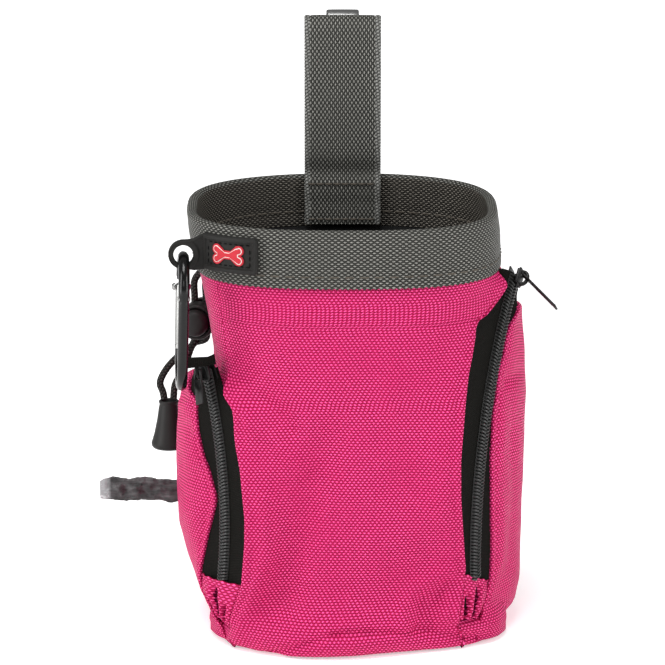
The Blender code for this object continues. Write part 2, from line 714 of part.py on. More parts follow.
def puller(prefix, m, direction, length, width):
    """Fork round the slider's lug with a cross pin, and a flat tongue."""
    pivot = m @ Matrix.Translation(Vector((0, 0, 3.85)) * MM)
    ray = (pivot.to_3x3() @ Vector((1, 0, 0))).normalized()
    d = Vector(direction)
    d = (d - ray * d.dot(ray)).normalized()
    out = ray.cross(d)
    f = frame_at(pivot.translation / MM, ray, d, out)
    pull = rod(f"{prefix}_zip_puller", 0.5, width, f @ Matrix.Rotation(math.radians(90), 4, "Y"), black_coat, sides=12)
    arm = (width - 2.1) / 2
    for s in (-1, 1):
        piece = helper(block(f"{prefix}_arm_{'a' if s < 0 else 'b'}", (arm, 4.6, 0.9), f @ Matrix.Translation(Vector((s * (width / 2 - arm / 2), 1.9, 0)) * MM), collection=CUTTERS))
        cut(pull, piece, "UNION")
    blade = helper(block(f"{prefix}_blade", (width, length - 3.6, 0.95), f @ Matrix.Translation(Vector((0, 3.6 + (length - 3.6) / 2, 0)) * MM), collection=CUTTERS, bevel=0.2))
    cut(pull, blade, "UNION")
    return pivot


left_m, left_c, left_r, left_axis, left_sweep = zipper("left", LEFT_ZIP, (-1, -1, 0))
right_m, right_c, right_r, right_axis, right_sweep = zipper("right", RIGHT_ZIP, (1, -1, 0))


puller("left", left_m, left_axis * 0.2 + Vector((0, 0, -1)), 10.0, 3.6)
puller("right", right_m, Vector((0.65, -0.28, -0.70)), 17.5, 3.6)

# Folded end tabs that close each zip's lower end
def end_tab(name, where, outward, height, wide, thick):
    out = Vector(outward).normalized()
    across = Vector((0, 0, 1)).cross(out)

    def build(bm):
        sections = []
        for f, w, t in ((0.0, 0.86, 0.75), (0.3, 1.0, 1.0), (0.7, 0.92, 1.0), (1.0, 0.7, 0.8)):
            z = where[2] - height / 2 + f * height
            ring_points = []
            for x, y in ((-1, 0), (-0.35, 0), (0.35, 0), (1, 0), (1, 0.7), (0.45, 1.0), (0.0, 0.55), (-0.45, 1.0), (-1, 0.7)):
                p = Vector((where[0], where[1], 0)) + across * (x * w * wide / 2) + out * (y * t * thick)
                ring_points.append(bm.verts.new(Vector((p.x, p.y, z)) * MM))
            sections.append(ring_points)
        n = len(sections[0])
        for a, b in zip(sections, sections[1:]):
            for i in range(n):
                j = (i + 1) % n
                bm.faces.new((a[i], a[j], b[j], b[i]))
        bm.faces.new(list(reversed(sections[0])))
        bm.faces.new(sections[-1])
        bmesh.ops.recalc_face_normals(bm, faces=bm.faces)
    return add(name, mesh_of(name, build), nylon)


end_tab("left_zip_end_tab", (-36.6, -33.6, 10.2), (-0.72, -0.69, 0), 13.0, 11.5, 3.0)
end_tab("right_zip_end_tab", (38.4, -34.0, 12.6), (0.74, -0.67, 0), 13.5, 11.0, 3.0)

# ------------------------------------------------------------- drawstring
gro = at(GROMMET_AZ, wall_radius(GROMMET_AZ, GROMMET_Z), GROMMET_Z) / MM
step = at(GROMMET_AZ + 1.5, wall_radius(GROMMET_AZ + 1.5, GROMMET_Z), GROMMET_Z) / MM - at(GROMMET_AZ - 1.5, wall_radius(GROMMET_AZ - 1.5, GROMMET_Z), GROMMET_Z) / MM
gro_side = step.normalized()
rise = (at(GROMMET_AZ, wall_radius(GROMMET_AZ, GROMMET_Z + 4.0), GROMMET_Z + 4.0) - at(GROMMET_AZ, wall_radius(GROMMET_AZ, GROMMET_Z - 4.0), GROMMET_Z - 4.0)).normalized()
gro_out = gro_side.cross(rise).normalized()
if gro_out.x > 0:
    gro_out.negate()
gro_up = gro_out.cross(gro_side).normalized()
gro_m = frame_at(gro, gro_side, gro_out.cross(gro_side), gro_out)
grommet_cut = helper(rod("grommet_seat", 4.35, 6.0, gro_m, collection=CUTTERS, sides=24))
cut(wall, grommet_cut)
turned("drawstring_grommet", [
    (4.8, 1.5), (5.2, 1.1), (5.2, 0.75), (3.9, 0.75), (3.9, -1.55), (4.7, -1.55), (4.7, -2.0), (3.5, -2.0), (3.35, -1.55), (3.35, 0.9), (3.7, 1.5),
], gro_m, black_coat, steps=22)

ring_pts = []
for k in range(45):
    az = GROMMET_AZ + 10.0 + (360.0 - 20.0) * k / 44.0
    height = 110.2 + rim_z(az) - RIM_MID_Z
    ring_pts.append(at(az, wall_radius(az, height) - 3.0, height))
tube("drawstring_run", ring_pts, CORD_R, black_cloth)

lock_axis = Vector((math.sin(math.radians(LOCK_TURN)), -math.cos(math.radians(LOCK_TURN)), 0.0))
lock_side = Vector((0, 0, 1)).cross(lock_axis)      # across the lock, towards +X
lx, ly, lz = LOCK
for name, s in (("drawstring_tail_left", -1.0), ("drawstring_tail_right", 1.0)):
    toward = gro_side if lock_side.dot(gro_side) > 0 else gro_side * -1.0
    inside = gro + gro_out * -1.2 + toward * (s * 1.68) + gro_up * (s * -0.85)
    outside = inside + gro_out * 4.0
    through = Vector((lx, ly, 0)) + lock_side * (s * 1.85)
    down = [inside, inside + gro_out * 2.2, outside + Vector((0, 0, -0.5)),
            Vector((through.x * 0.74 + outside.x * 0.26 + 0.3 * s, through.y * 0.74 + outside.y * 0.26, GROMMET_Z - 3.6 + 0.3 * s)),
            Vector((through.x, through.y, GROMMET_Z - 7.4)), Vector((through.x, through.y, lz + 7.0)),
            Vector((through.x, through.y, lz)), Vector((through.x, through.y, lz - 6.4))]
    bx, by = BELL_XY
    if s < 0:
        down += [Vector((-50.4, 25.8, 80.6)), Vector((-54.6, 25.5, 77.6)), Vector((-58.0, 25.2, 73.8)), Vector((-60.0, 25.0, 69.6)), Vector((-59.1, 24.8, 66.4)), Vector((bx - 1.5, by, BELL_Z[1] + 0.6))]
    else:
        down += [Vector((-46.3, 27.4, 80.4)), Vector((-49.6, 27.4, 76.2)), Vector((-53.2, 26.6, 72.4)), Vector((-55.2, 25.4, 68.6)), Vector((bx + 1.5, by, BELL_Z[1] + 0.6))]
    tube(name, smooth_path(down, 30), CORD_R, black_cloth)

lock_m = frame_at(LOCK, lock_side, lock_axis.cross(lock_side), lock_axis)
half = LOCK_LEN / 2
turned("cord_lock_body", [
    (5.1, half), (5.6, half - 0.4), (LOCK_R, half - 1.6), (LOCK_R, -half + 2.0), (5.4, -half + 0.6), (4.4, -half), (0.0, -half),
    (0.0, -half + 1.5), (4.7, -half + 1.5), (4.7, half),
], lock_m, plastic, steps=28, closed=False)
lock_body = bpy.data.objects["cord_lock_body"]
seam = bmesh.new()
seam.from_mesh(lock_body.data)
seam.verts.ensure_lookup_table()
seam.edges.new((seam.verts[len(seam.verts) - 1], seam.verts[0]))
seam.to_mesh(lock_body.data)
seam.free()
slot_m = Matrix.Translation(Vector(LOCK) * MM) @ Matrix.Rotation(math.radians(LOCK_TURN), 4, "Z")
lock_slot = helper(block("lock_slot", (7.1, 3.5, 20.0), slot_m, collection=CUTTERS))
cut(lock_body, lock_slot)
button = turned("cord_lock_button", [
    (0.0, half + 3.4), (2.8, half + 3.1), (3.9, half + 2.4), (4.35, half + 1.2), (4.35, -half + 4.4), (2.3, -half + 4.4), (2.3, -half + 5.0), (0.0, -half + 5.0),
], lock_m, plastic, steps=28, closed=False)
plunger_slot = helper(block("plunger_slot", (7.1, 5.9, 20.0), slot_m @ Matrix.Translation(Vector((0, -1.0, 0)) * MM), collection=CUTTERS))
cut(button, plunger_slot)
coil = []
for k in range(4 * 8 + 1):
    a = 2 * math.pi * k / 8.0
    coil.append(Vector((1.6 * math.cos(a), 1.6 * math.sin(a), -half + 2.0 + 2.6 * k / 32.0)) * MM)
lock_spring = tube("cord_lock_spring", coil, 0.25, spring_steel, resolution=0)
lock_spring.matrix_world = lock_m

turned("cord_end_bell", [
    (0.0, 16.0), (2.9, 16.0), (3.15, 15.6), (3.3, 14.4), (4.1, 9.0), (5.1, 4.2), (5.75, 2.4), (5.3, 1.0), (3.6, 0.2), (0.0, 0.0),
], Matrix.Translation(Vector((*BELL_XY, BELL_Z[0])) * MM), plastic, steps=24, closed=False)

# -------------------------------------------------------- waste-bag dispenser
tail_x = -52.6
slot_cut = helper(block("tail_slot", (14.0, 5.9, 12.0), Matrix.Translation(Vector((tail_x, TAIL_Y, TAIL_Z)) * MM), collection=CUTTERS))
cut(left_pocket, slot_cut)
pocket_r = radius_of(math.degrees(math.atan2(TAIL_Y, -51.0)), 53.3, 40.0, 2.0)
exit_x = -math.sqrt(max(0.0, pocket_r ** 2 - TAIL_Y ** 2))
exit_out = Vector((exit_x / 53.3 ** 2, TAIL_Y / 40.0 ** 2, 0.0)).normalized()
g_m = frame_at((exit_x, TAIL_Y, TAIL_Z), Vector((0, 0, 1)).cross(exit_out), Vector((0, 0, 1)), exit_out)
slot_ring = block("waste_bag_grommet", (4.7, 10.8, 3.0), g_m @ Matrix.Translation(Vector((0, 0, -0.35)) * MM), black_coat)
flange = helper(block("grommet_flange", (7.6, 13.6, 0.8), g_m @ Matrix.Translation(Vector((0, 0, 0.85)) * MM), collection=CUTTERS, bevel=0.2))
through = helper(block("grommet_through", (12.0, 2.6, 9.4), Matrix.Translation(Vector((exit_x, TAIL_Y, TAIL_Z)) * MM), collection=CUTTERS))
cut(slot_ring, flange, "UNION")
cut(slot_ring, through)

rx, ry = ROLL_XY
roll_mid = (ROLL_Z[0] + ROLL_Z[1]) / 2
roll_h = ROLL_Z[1] - ROLL_Z[0]
turned("waste_bag_roll", [(ROLL_R, roll_h / 2), (ROLL_R, -roll_h / 2), (CORE_R + 0.3, -roll_h / 2), (CORE_R + 0.3, roll_h / 2)],
       Matrix.Translation(Vector((rx, ry, roll_mid)) * MM), film, steps=32)
turned("waste_bag_core", [(CORE_R, roll_h / 2), (CORE_R, -roll_h / 2), (CORE_R - 0.9, -roll_h / 2), (CORE_R - 0.9, roll_h / 2)],
       Matrix.Translation(Vector((rx, ry, roll_mid)) * MM), card, steps=24)


def film_strip(bm):
    """Gathered end of the film: a flat strip that swells and crinkles outside."""
    sections = []
    for x, half_h, half_t, dz in (
        (-38.0, 3.6, 0.45, 0.6), (-46.0, 3.6, 0.5, 0.6), (-52.0, 3.7, 0.6, 0.4), (-56.0, 3.8, 0.75, 0.0),
        (-60.0, 3.7, 1.0, 0.3), (-65.0, 3.9, 1.1, 0.9), (-70.0, 3.5, 1.1, 0.4), (-75.0, 3.6, 1.0, 1.0), (-78.0, 3.2, 0.7, 0.6),
    ):
        pts = []
        for k in range(8):
            a = 2 * math.pi * k / 8
            pts.append(bm.verts.new(Vector((x, TAIL_Y + half_t * math.cos(a), TAIL_Z + dz + half_h * math.sin(a))) * MM))
        sections.append(pts)
    for a, b in zip(sections, sections[1:]):
        for i in range(8):
            j = (i + 1) % 8
            bm.faces.new((a[i], a[j], b[j], b[i]))
    bm.faces.new(sections[0])
    bm.faces.new(list(reversed(sections[-1])))
    bmesh.ops.recalc_face_normals(bm, faces=bm.faces)


add("waste_bag_tail", mesh_of("waste_bag_tail", film_strip), film)

# Round pieces are shaded smooth
for thing in PARTS.objects:
    if thing.type == "MESH" and thing.name in ("outer_wall", "lining", "rim_binding", "left_pocket_panel", "right_pocket_panel", "waste_bag_tail"):
        thing.data.shade_smooth()
        thing.data.set_sharp_from_angle(angle=math.radians(50.0))
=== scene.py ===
import math
import random

import bmesh
import bpy
from mathutils import Matrix, Vector, noise


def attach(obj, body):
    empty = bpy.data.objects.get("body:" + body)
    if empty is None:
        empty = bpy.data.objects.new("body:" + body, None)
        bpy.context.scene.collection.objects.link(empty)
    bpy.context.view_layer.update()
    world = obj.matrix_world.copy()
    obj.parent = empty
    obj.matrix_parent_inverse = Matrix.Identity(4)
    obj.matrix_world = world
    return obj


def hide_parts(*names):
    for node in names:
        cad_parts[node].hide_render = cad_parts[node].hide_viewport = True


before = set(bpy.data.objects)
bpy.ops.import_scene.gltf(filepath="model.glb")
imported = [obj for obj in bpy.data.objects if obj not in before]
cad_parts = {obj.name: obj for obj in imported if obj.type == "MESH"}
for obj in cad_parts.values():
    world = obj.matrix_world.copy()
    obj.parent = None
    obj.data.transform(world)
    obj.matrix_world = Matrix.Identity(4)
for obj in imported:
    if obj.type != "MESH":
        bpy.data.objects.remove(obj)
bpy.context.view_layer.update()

random.seed(7)
MM = 0.001

# ------------------------------------------------------------------ camera
FULL = 665.0                                  # the picture's side, in its own units
TILT = math.radians(12.0)
FOCAL = 189.0 / 36.0 * FULL
TARGET = Vector((-0.00426, 0.0, 0.0913))
FORWARD = Vector((0.0, math.cos(TILT), -math.sin(TILT)))
UPWARD = Vector((0.0, math.sin(TILT), math.cos(TILT)))
EYE = TARGET - FORWARD * 1.1
scene = bpy.context.scene
cam = bpy.data.objects.new("camera", bpy.data.cameras.new("camera"))
scene.collection.objects.link(cam)
cam.location = EYE
cam.rotation_euler = (math.radians(90.0 - 12.0), 0.0, 0.0)
cam.data.lens = 189.0
cam.data.sensor_width = 36.0
cam.data.clip_start = 0.01
scene.camera = cam
scene.view_settings.view_transform = "Standard"


def seen(p):
    """Where a point (metres) falls in the picture, from its top left corner."""
    rel = p - EYE
    depth = rel.dot(FORWARD)
    return FULL / 2 + FOCAL * rel.x / depth, FULL / 2 - FOCAL * rel.dot(UPWARD) / depth


def sight(x, y):
    return (FORWARD + Vector((1, 0, 0)) * ((x - FULL / 2) / FOCAL) + UPWARD * ((FULL / 2 - y) / FOCAL)).normalized()


# ------------------------------------------- the part's own numbers, repeated
WALL = 0.7
BASE_T = 1.4
GAP = 0.35
RIM_MID_Z, RIM_TILT = 133.7, 1.8
BINDING_DROP, BINDING_T = 17.5, 0.8
BASE_YAW = 6.0
STRAP_W, STRAP_T, STRAP_X, STRAP_TOP = 24.4, 1.3, -1.0, 186.9
STRAP_FRONT_Y, STRAP_REAR_Y = 36.2, 43.9
CLIP_W, CLIP_T, CLIP_X = 10.6, 1.0, -1.0
RIVET_Z = (158.0, 174.0)
ROD_R, CARA_HALF, CARA_TOP, CARA_LOW = 1.62, 9.5, 122.0, 80.6
CARA_XY = (-49.6, -33.9)
CARA_TURN, CARA_LEAN = 4.8, 1.5
GATE_R, GATE_PIN_Z, GATE_LOW_Z = 1.75, 110.9, 91.4
HOLE_R, HOLE_Z = 3.0, 122.85
CORD_R = 1.35
GROMMET_AZ, GROMMET_Z = 150.0, 110.2
LOCK, LOCK_TURN, LOCK_R, LOCK_LEN = (-46.8, 25.6, 90.6), -10.0, 5.9, 15.0
BELL_XY, BELL_Z = (-57.2, 24.6), (47.7, 63.7)
ROLL_XY, ROLL_R, ROLL_Z, CORE_R = (-35.6, 2.0), 11.4, (14.5, 72.0), 5.2
TAIL_Y, TAIL_Z = 2.0 + 11.4 + 1.1, 36.0
LEFT_ZIP = ((-42.4, -30.4, 86.0), (-37.35, -35.7, 53.0), (-37.8, -35.2, 20.0))
RIGHT_ZIP = ((51.6, -15.0, 112.0), (41.7, -34.2, 67.5), (39.3, -36.4, 23.0))
STATIONS = (
    (0.0, 37.0, 43.5, 42.0, 36.0, 3.0, 2.9, 2.8),
    (6.0, 39.0, 45.0, 44.5, 38.0, 2.9, 2.8, 2.7),
    (25.0, 40.5, 46.2, 46.0, 40.0, 2.8, 2.8, 2.5),
    (60.0, 41.0, 46.5, 46.0, 41.0, 2.8, 2.8, 2.4),
    (88.0, 41.5, 46.5, 45.5, 41.0, 2.9, 2.8, 2.4),
    (108.0, 44.5, 47.2, 45.0, 41.0, 3.2, 3.0, 2.5),
    (118.0, 46.5, 47.2, 44.5, 41.0, 3.2, 3.2, 2.5),
    (136.0, 49.0, 45.6, 44.0, 40.8, 3.2, 3.2, 2.5),
)
LEFT_POCKET = (
    (3.2, 43.0), (6.0, 45.0), (12.0, 47.6), (21.0, 50.6), (31.0, 53.0),
    (41.0, 53.6), (53.0, 53.8), (65.0, 53.3), (72.0, 52.6), (78.0, 51.4), (82.0, 50.0),
)
RIGHT_POCKET = (
    (3.2, 49.5), (6.0, 51.8), (12.0, 53.2), (24.0, 54.3), (40.0, 55.2), (60.0, 56.2),
    (76.0, 56.7), (90.0, 56.2), (100.0, 55.4), (107.0, 55.0), (110.0, 54.6),
)
LINING_LEFT = ((0.0, 21.5), (76.0, 21.5), (84.0, 26.0), (96.0, 38.5), (104.0, 41.0), (118.0, 60.0), (140.0, 60.0))
CHANNEL = ((0.0, 1.3), (100.0, 1.3), (106.0, 5.1), (114.4, 5.1), (117.2, 0.85), (140.0, 0.85))


def table(rows, z, column=1):
    if z <= rows[0][0]:
        return rows[0][column]
    for low, high in zip(rows, rows[1:]):
        if z <= high[0]:
            part = (z - low[0]) / max(1e-9, high[0] - low[0])
            return low[column] + part * (high[column] - low[column])
    return rows[-1][column]


def smooth(x, a=0.0, b=1.0):
    t = min(1.0, max(0.0, (x - a) / (b - a)))
    return t * t * (3.0 - 2.0 * t)


def rim_z(az):
    return RIM_MID_Z + RIM_TILT * math.sin(math.radians(az))


def radius_of(az, half_x, half_y, power):
    c, s = abs(math.cos(math.radians(az))), abs(math.sin(math.radians(az)))
    return ((c / half_x) ** power + (s / half_y) ** power) ** (-1.0 / power)


def wall_radius(az, z, left=None):
    z = max(0.0, z)
    fade = min(1.0, z / 85.0)
    az = (az - BASE_YAW * (1.0 - fade * fade * (3.0 - 2.0 * fade))) % 360.0
    west, south = 90.0 < az < 270.0, az > 180.0
    half_x = table(STATIONS, z, 1 if west else 2)
    if west and left is not None:
        half_x = min(half_x, left)
    half_y = table(STATIONS, z, 3 if south else 4)
    power = table(STATIONS, z, (5 if west else 6) if south else 7)
    return radius_of(az, half_x, half_y, power)


def at(az, radius, z):
    return Vector((radius * math.cos(math.radians(az)), radius * math.sin(math.radians(az)), z)) * MM


def frame_at(origin, x_axis, y_axis, z_axis):
    m = Matrix.Identity(4)
    for column, axis in enumerate((x_axis, y_axis, z_axis)):
        for row in range(3):
            m[row][column] = axis[row]
    m.translation = Vector(origin) * MM
    return m


def smooth_path(anchors, count):
    pts = [Vector(p) for p in anchors]
    pts = [pts[0] * 2 - pts[1]] + pts + [pts[-1] * 2 - pts[-2]]
    dense = []
    for a, b, c, d in zip(pts, pts[1:], pts[2:], pts[3:]):
        for k in range(40):
            t = k / 40.0
            dense.append(0.5 * ((2 * b) + (c - a) * t + (2 * a - 5 * b + 4 * c - d) * t * t + (3 * b - a - 3 * c + d) * t ** 3))
    dense.append(pts[-2])
    run = [0.0]
    for a, b in zip(dense, dense[1:]):
        run.append(run[-1] + (b - a).length)
    out, k = [], 0
    for i in range(count):
        want = run[-1] * i / (count - 1)
        while k < len(run) - 2 and run[k + 1] < want:
            k += 1
        part = (want - run[k]) / max(1e-9, run[k + 1] - run[k])
        out.append((dense[k] + (dense[k + 1] - dense[k]) * min(1.0, part)) * MM)
    return out


# --------------------------------------------------------------- materials
class Look:
    """A material and short calls for its nodes."""

    def __init__(self, name):
        self.mat = bpy.data.materials.new(name)
        self.mat.use_nodes = True
        self.tree = self.mat.node_tree
        self.tree.nodes.clear()
        self.out = self.tree.nodes.new("ShaderNodeOutputMaterial")
        self.bsdf = self.tree.nodes.new("ShaderNodeBsdfPrincipled")
        self.tree.links.new(self.bsdf.outputs[0], self.out.inputs[0])

    def put(self, socket, value):
        if isinstance(value, bpy.types.NodeSocket):
            self.tree.links.new(value, socket)
        elif value is not None:
            socket.default_value = value

    def sums(self, op, a, b=None, c=None, clamp=False):
        n = self.tree.nodes.new("ShaderNodeMath")
        n.operation = op
        n.use_clamp = clamp
        for slot_, v in zip(n.inputs, (a, b, c)):
            self.put(slot_, v)
        return n.outputs[0]

    def mix(self, f, a, b):
        n = self.tree.nodes.new("ShaderNodeMix")
        n.data_type = "RGBA"
        self.put(n.inputs[0], f)
        self.put(n.inputs[6], (*a, 1.0) if isinstance(a, tuple) else a)
        self.put(n.inputs[7], (*b, 1.0) if isinstance(b, tuple) else b)
        return n.outputs[2]

    def lerp(self, f, a, b):
        n = self.tree.nodes.new("ShaderNodeMix")
        n.data_type = "FLOAT"
        self.put(n.inputs[0], f)
        self.put(n.inputs[2], a)
        self.put(n.inputs[3], b)
        return n.outputs[0]

    def uv(self):
        n = self.tree.nodes.new("ShaderNodeUVMap")
        n.uv_map = "mm"
        s = self.tree.nodes.new("ShaderNodeSeparateXYZ")
        self.tree.links.new(n.outputs[0], s.inputs[0])
        return s.outputs[0], s.outputs[1]

    def noise(self, scale, detail=3.0, rough=0.5, stretch=None):
        c = self.tree.nodes.new("ShaderNodeTexCoord")
        n = self.tree.nodes.new("ShaderNodeTexNoise")
        n.inputs["Scale"].default_value = scale
        n.inputs["Detail"].default_value = detail
        n.inputs["Roughness"].default_value = rough
        source = c.outputs["Object"]
        if stretch:
            m = self.tree.nodes.new("ShaderNodeMapping")
            m.inputs["Scale"].default_value = stretch
            self.tree.links.new(source, m.inputs[0])
            source = m.outputs[0]
        self.tree.links.new(source, n.inputs["Vector"])
        return n.outputs[0]

    def bump(self, height, distance, strength=1.0, below=None):
        n = self.tree.nodes.new("ShaderNodeBump")
        n.inputs["Strength"].default_value = strength
        n.inputs["Distance"].default_value = distance
        self.put(n.inputs["Height"], height)
        if below is not None:
            self.put(n.inputs["Normal"], below)
        return n.outputs[0]

    def set(self, **values):
        for key, value in values.items():
            socket = self.bsdf.inputs[key.replace("_", " ")]
            if isinstance(value, tuple) and len(value) == 3:
                value = (*value, 1.0)
            self.put(socket, value)
        return self

    def cells(self, u, v, cu, cv, a=0.42, b=0.52, weft=0.6):
        """Plain weave: raised oval floats in staggered rows, lower weft between.
        Gives (height 0..1, float mask)."""
        us, vs = self.sums("DIVIDE", u, cu), self.sums("DIVIDE", v, cv)
        row = self.sums("FLOOR", vs)
        fy = self.sums("SUBTRACT", self.sums("FRACT", vs), 0.5)
        shift = self.sums("MULTIPLY", self.sums("FLOORED_MODULO", row, 2.0), 0.5)
        uo = self.sums("ADD", us, shift)
        fx = self.sums("SUBTRACT", self.sums("FRACT", uo), 0.5)
        gx = self.sums("SUBTRACT", self.sums("FRACT", self.sums("ADD", uo, 0.5)), 0.5)

        def dome(x, y, p, q):
            x2 = self.sums("POWER", self.sums("ABSOLUTE", self.sums("DIVIDE", x, p)), 2.0)
            y2 = self.sums("POWER", self.sums("ABSOLUTE", self.sums("DIVIDE", y, q)), 2.0)
            rest = self.sums("SUBTRACT", self.sums("SUBTRACT", 1.0, x2), y2, clamp=True)
            return self.sums("SQRT", rest)

        warp = dome(fx, fy, a, b)
        low = self.sums("MULTIPLY", dome(gx, fy, 0.5 - a * 0.62, 0.5), weft)
        return self.sums("MAXIMUM", warp, low), warp


# The gap colour is painted shade between the floats and the top colour a painted highlight on their crests; mid is the
# cloth's own colour.
def cloth_look(name, cu, cv, gap_shade, mid, top, depth, rough=0.42, shine=0.5, swap=False, a=0.42, b=0.52, diag=False, sheen=0.0, wander=0.18, weft=0.6):
    k = Look(name)
    u, v = k.uv()
    if swap:
        u, v = v, u
    if diag:
        u, v = k.sums("ADD", k.sums("MULTIPLY", u, 0.8), k.sums("MULTIPLY", v, 0.6)), k.sums("SUBTRACT", k.sums("MULTIPLY", v, 0.8), k.sums("MULTIPLY", u, 0.6))
    # yarns wander a little
    w = k.sums("MULTIPLY", k.sums("SUBTRACT", k.noise(260.0, 2.0), 0.5), wander * 2.0)
    u = k.sums("ADD", u, w)
    v = k.sums("ADD", v, k.sums("MULTIPLY", k.sums("SUBTRACT", k.noise(330.0, 2.0), 0.5), wander * 1.4))
    height, warp = k.cells(u, v, cu, cv, a, b, weft)
    fibre = k.noise(4200.0, 2.0, 0.7)
    patchy = k.noise(55.0, 3.0, 0.6)
    h = k.sums("ADD", height, k.sums("MULTIPLY", fibre, 0.22))
    # Painted shade: darker towards the gap colour where the weave lies low, between the floats.
    tone = k.mix(k.sums("POWER", k.sums("MULTIPLY", height, 1.15, clamp=True), 1.5), gap_shade, mid)
    # Painted highlight: the crests of the warp floats take the bright top colour.
    crest_highlight = k.sums("POWER", k.sums("MULTIPLY", warp, 1.0, clamp=True), 3.0)
    tone = k.mix(k.sums("MULTIPLY", crest_highlight, k.sums("ADD", 0.35, k.sums("MULTIPLY", fibre, 0.9)), clamp=True), tone, top)
    dark = tuple(c * 0.62 for c in mid)
    tone = k.mix(k.sums("MULTIPLY", k.sums("SUBTRACT", 0.62, patchy, clamp=True), 0.9, clamp=True), tone, dark)
    k.set(Base_Color=tone, Roughness=k.sums("ADD", rough, k.sums("MULTIPLY", fibre, 0.16)), Specular_IOR_Level=shine,
          Normal=k.bump(h, depth, 1.0))
    if sheen:
        k.set(Sheen_Weight=sheen, Sheen_Roughness=0.4)
    return k.mat


def moulded_look(name, colour, rough, shine=0.5, grain=0.00003, scale=1600.0, worn=(0.0, 0.0, 0.0), metal=0.0, coat=0.0):
    k = Look(name)
    fine = k.noise(scale, 3.0, 0.6)
    broad = k.noise(90.0, 3.0, 0.55)
    tone = k.mix(k.sums("MULTIPLY", broad, 0.9, clamp=True), tuple(c * 0.75 for c in colour), tuple(min(1.0, c * 1.2 + w) for c, w in zip(colour, worn)))
    k.set(Base_Color=tone, Metallic=metal, Roughness=k.sums("ADD", rough - 0.06, k.sums("MULTIPLY", fine, 0.14)),
          Specular_IOR_Level=shine, Normal=k.bump(fine, grain, 0.8), Coat_Weight=coat, Coat_Roughness=0.12)
    return k.mat


# Weave colours in order: painted shade in the gaps, the cloth's own colour, painted highlight on the float crests.
PINK = cloth_look("nylon_weave", 1.32, 0.83, (0.24, 0.001, 0.032), (0.70, 0.010, 0.135), (1.0, 0.13, 0.40), 0.00034, 0.45, 0.10, a=0.37, b=0.47, weft=0.45)
# A darker, duller copy of the pink weave: painted shade down the pleats of the zip end tabs.
PINK_PAINTED_SHADE = cloth_look("nylon_weave_painted_shade", 1.32, 0.83, (0.03, 0.0005, 0.006), (0.16, 0.002, 0.03), (0.30, 0.02, 0.09), 0.00034, 0.6, 0.03, a=0.37, b=0.47, weft=0.45)
GREY = cloth_look("webbing_weave", 1.95, 0.66, (0.007, 0.007, 0.0062), (0.078, 0.078, 0.069), (0.31, 0.305, 0.28), 0.00036, 0.45, 0.12, a=0.35, b=0.49, wander=0.07, weft=0.4)
GREY_UP = cloth_look("webbing_weave_upright", 1.95, 0.66, (0.007, 0.007, 0.0062), (0.078, 0.078, 0.069), (0.31, 0.305, 0.28), 0.00036, 0.45, 0.12, swap=True, a=0.35, b=0.49, wander=0.07, weft=0.4)
# A darker copy of the webbing: painted shade for the binding's inner side.
GREY_PAINTED_SHADE = cloth_look("webbing_weave_inner_painted_shade", 1.95, 0.66, (0.005, 0.0045, 0.004), (0.060, 0.054, 0.045), (0.24, 0.22, 0.19), 0.00036, 0.48, 0.12, a=0.35, b=0.49, wander=0.07, weft=0.4)
TAPE = cloth_look("zip_tape_twill", 0.62, 0.42, (0.002, 0.002, 0.0018), (0.0065, 0.006, 0.005), (0.016, 0.015, 0.013), 0.00010, 0.75, 0.05, diag=True)
LININGC = cloth_look("lining_taffeta", 0.7, 0.5, (0.004, 0.004, 0.004), (0.007, 0.007, 0.007), (0.02, 0.02, 0.02), 0.00008, 0.8, 0.05)
CORD = cloth_look("cord_braid", 1.25, 0.95, (0.004, 0.004, 0.004), (0.014, 0.0135, 0.0125), (0.06, 0.058, 0.054), 0.00030, 0.6, 0.12, diag=True, a=0.46, b=0.5, wander=0.03)
SELV = cloth_look("selvedge_weave", 1.1, 0.9, (0.012, 0.012, 0.011), (0.12, 0.12, 0.11), (0.26, 0.26, 0.245), 0.00026, 0.5, 0.35, diag=True, a=0.46, b=0.5, wander=0.05)
THREAD = moulded_look("thread_taupe", (0.062, 0.053, 0.043), 0.6, 0.1, 0.00004, 5200.0, (0.03, 0.028, 0.024))
BLACK_THREAD = moulded_look("thread_black", (0.004, 0.004, 0.004), 0.6, 0.1, 0.00004, 5200.0)
PLASTIC = moulded_look("moulded_plastic", (0.011, 0.0105, 0.010), 0.5, 0.22, 0.00002, 1500.0)
COIL = moulded_look("zip_coil_nylon", (0.006, 0.006, 0.0055), 0.32, 0.42, 0.00001, 2600.0)
LACQUER = moulded_look("black_lacquer", (0.003, 0.003, 0.003), 0.16, 0.26, 0.000006, 900.0, coat=0.04)
SATIN = moulded_look("satin_black_metal", (0.005, 0.005, 0.005), 0.36, 0.25, 0.00001, 1800.0)
RUBBER = moulded_look("soft_rubber", (0.015, 0.0145, 0.0135), 0.6, 0.14, 0.00003, 2400.0)
RED = moulded_look("red_rubber", (0.44, 0.022, 0.034), 0.55, 0.15, 0.00002, 2400.0)
WHITE = moulded_look("white_rubber", (0.62, 0.6, 0.57), 0.55, 0.4, 0.00002, 2400.0)
CARD = moulded_look("core_card", (0.34, 0.25, 0.16), 0.85, 0.2, 0.00006, 2200.0)
HOLE = moulded_look("needle_hole", (0.006, 0.006, 0.006), 0.9, 0.1, 0.00002, 2000.0)


def steel_look():
    k = Look("brushed_steel")
    fine = k.noise(1400.0, 4.0, 0.7, (1.0, 1.0, 0.06))
    spots = k.noise(240.0, 4.0, 0.6)
    tone = k.mix(spots, (0.20, 0.20, 0.195), (0.36, 0.36, 0.355))
    k.set(Base_Color=tone, Metallic=1.0, Roughness=k.sums("ADD", 0.22, k.sums("MULTIPLY", fine, 0.22)), Normal=k.bump(fine, 0.00001, 0.5))
    return k.mat


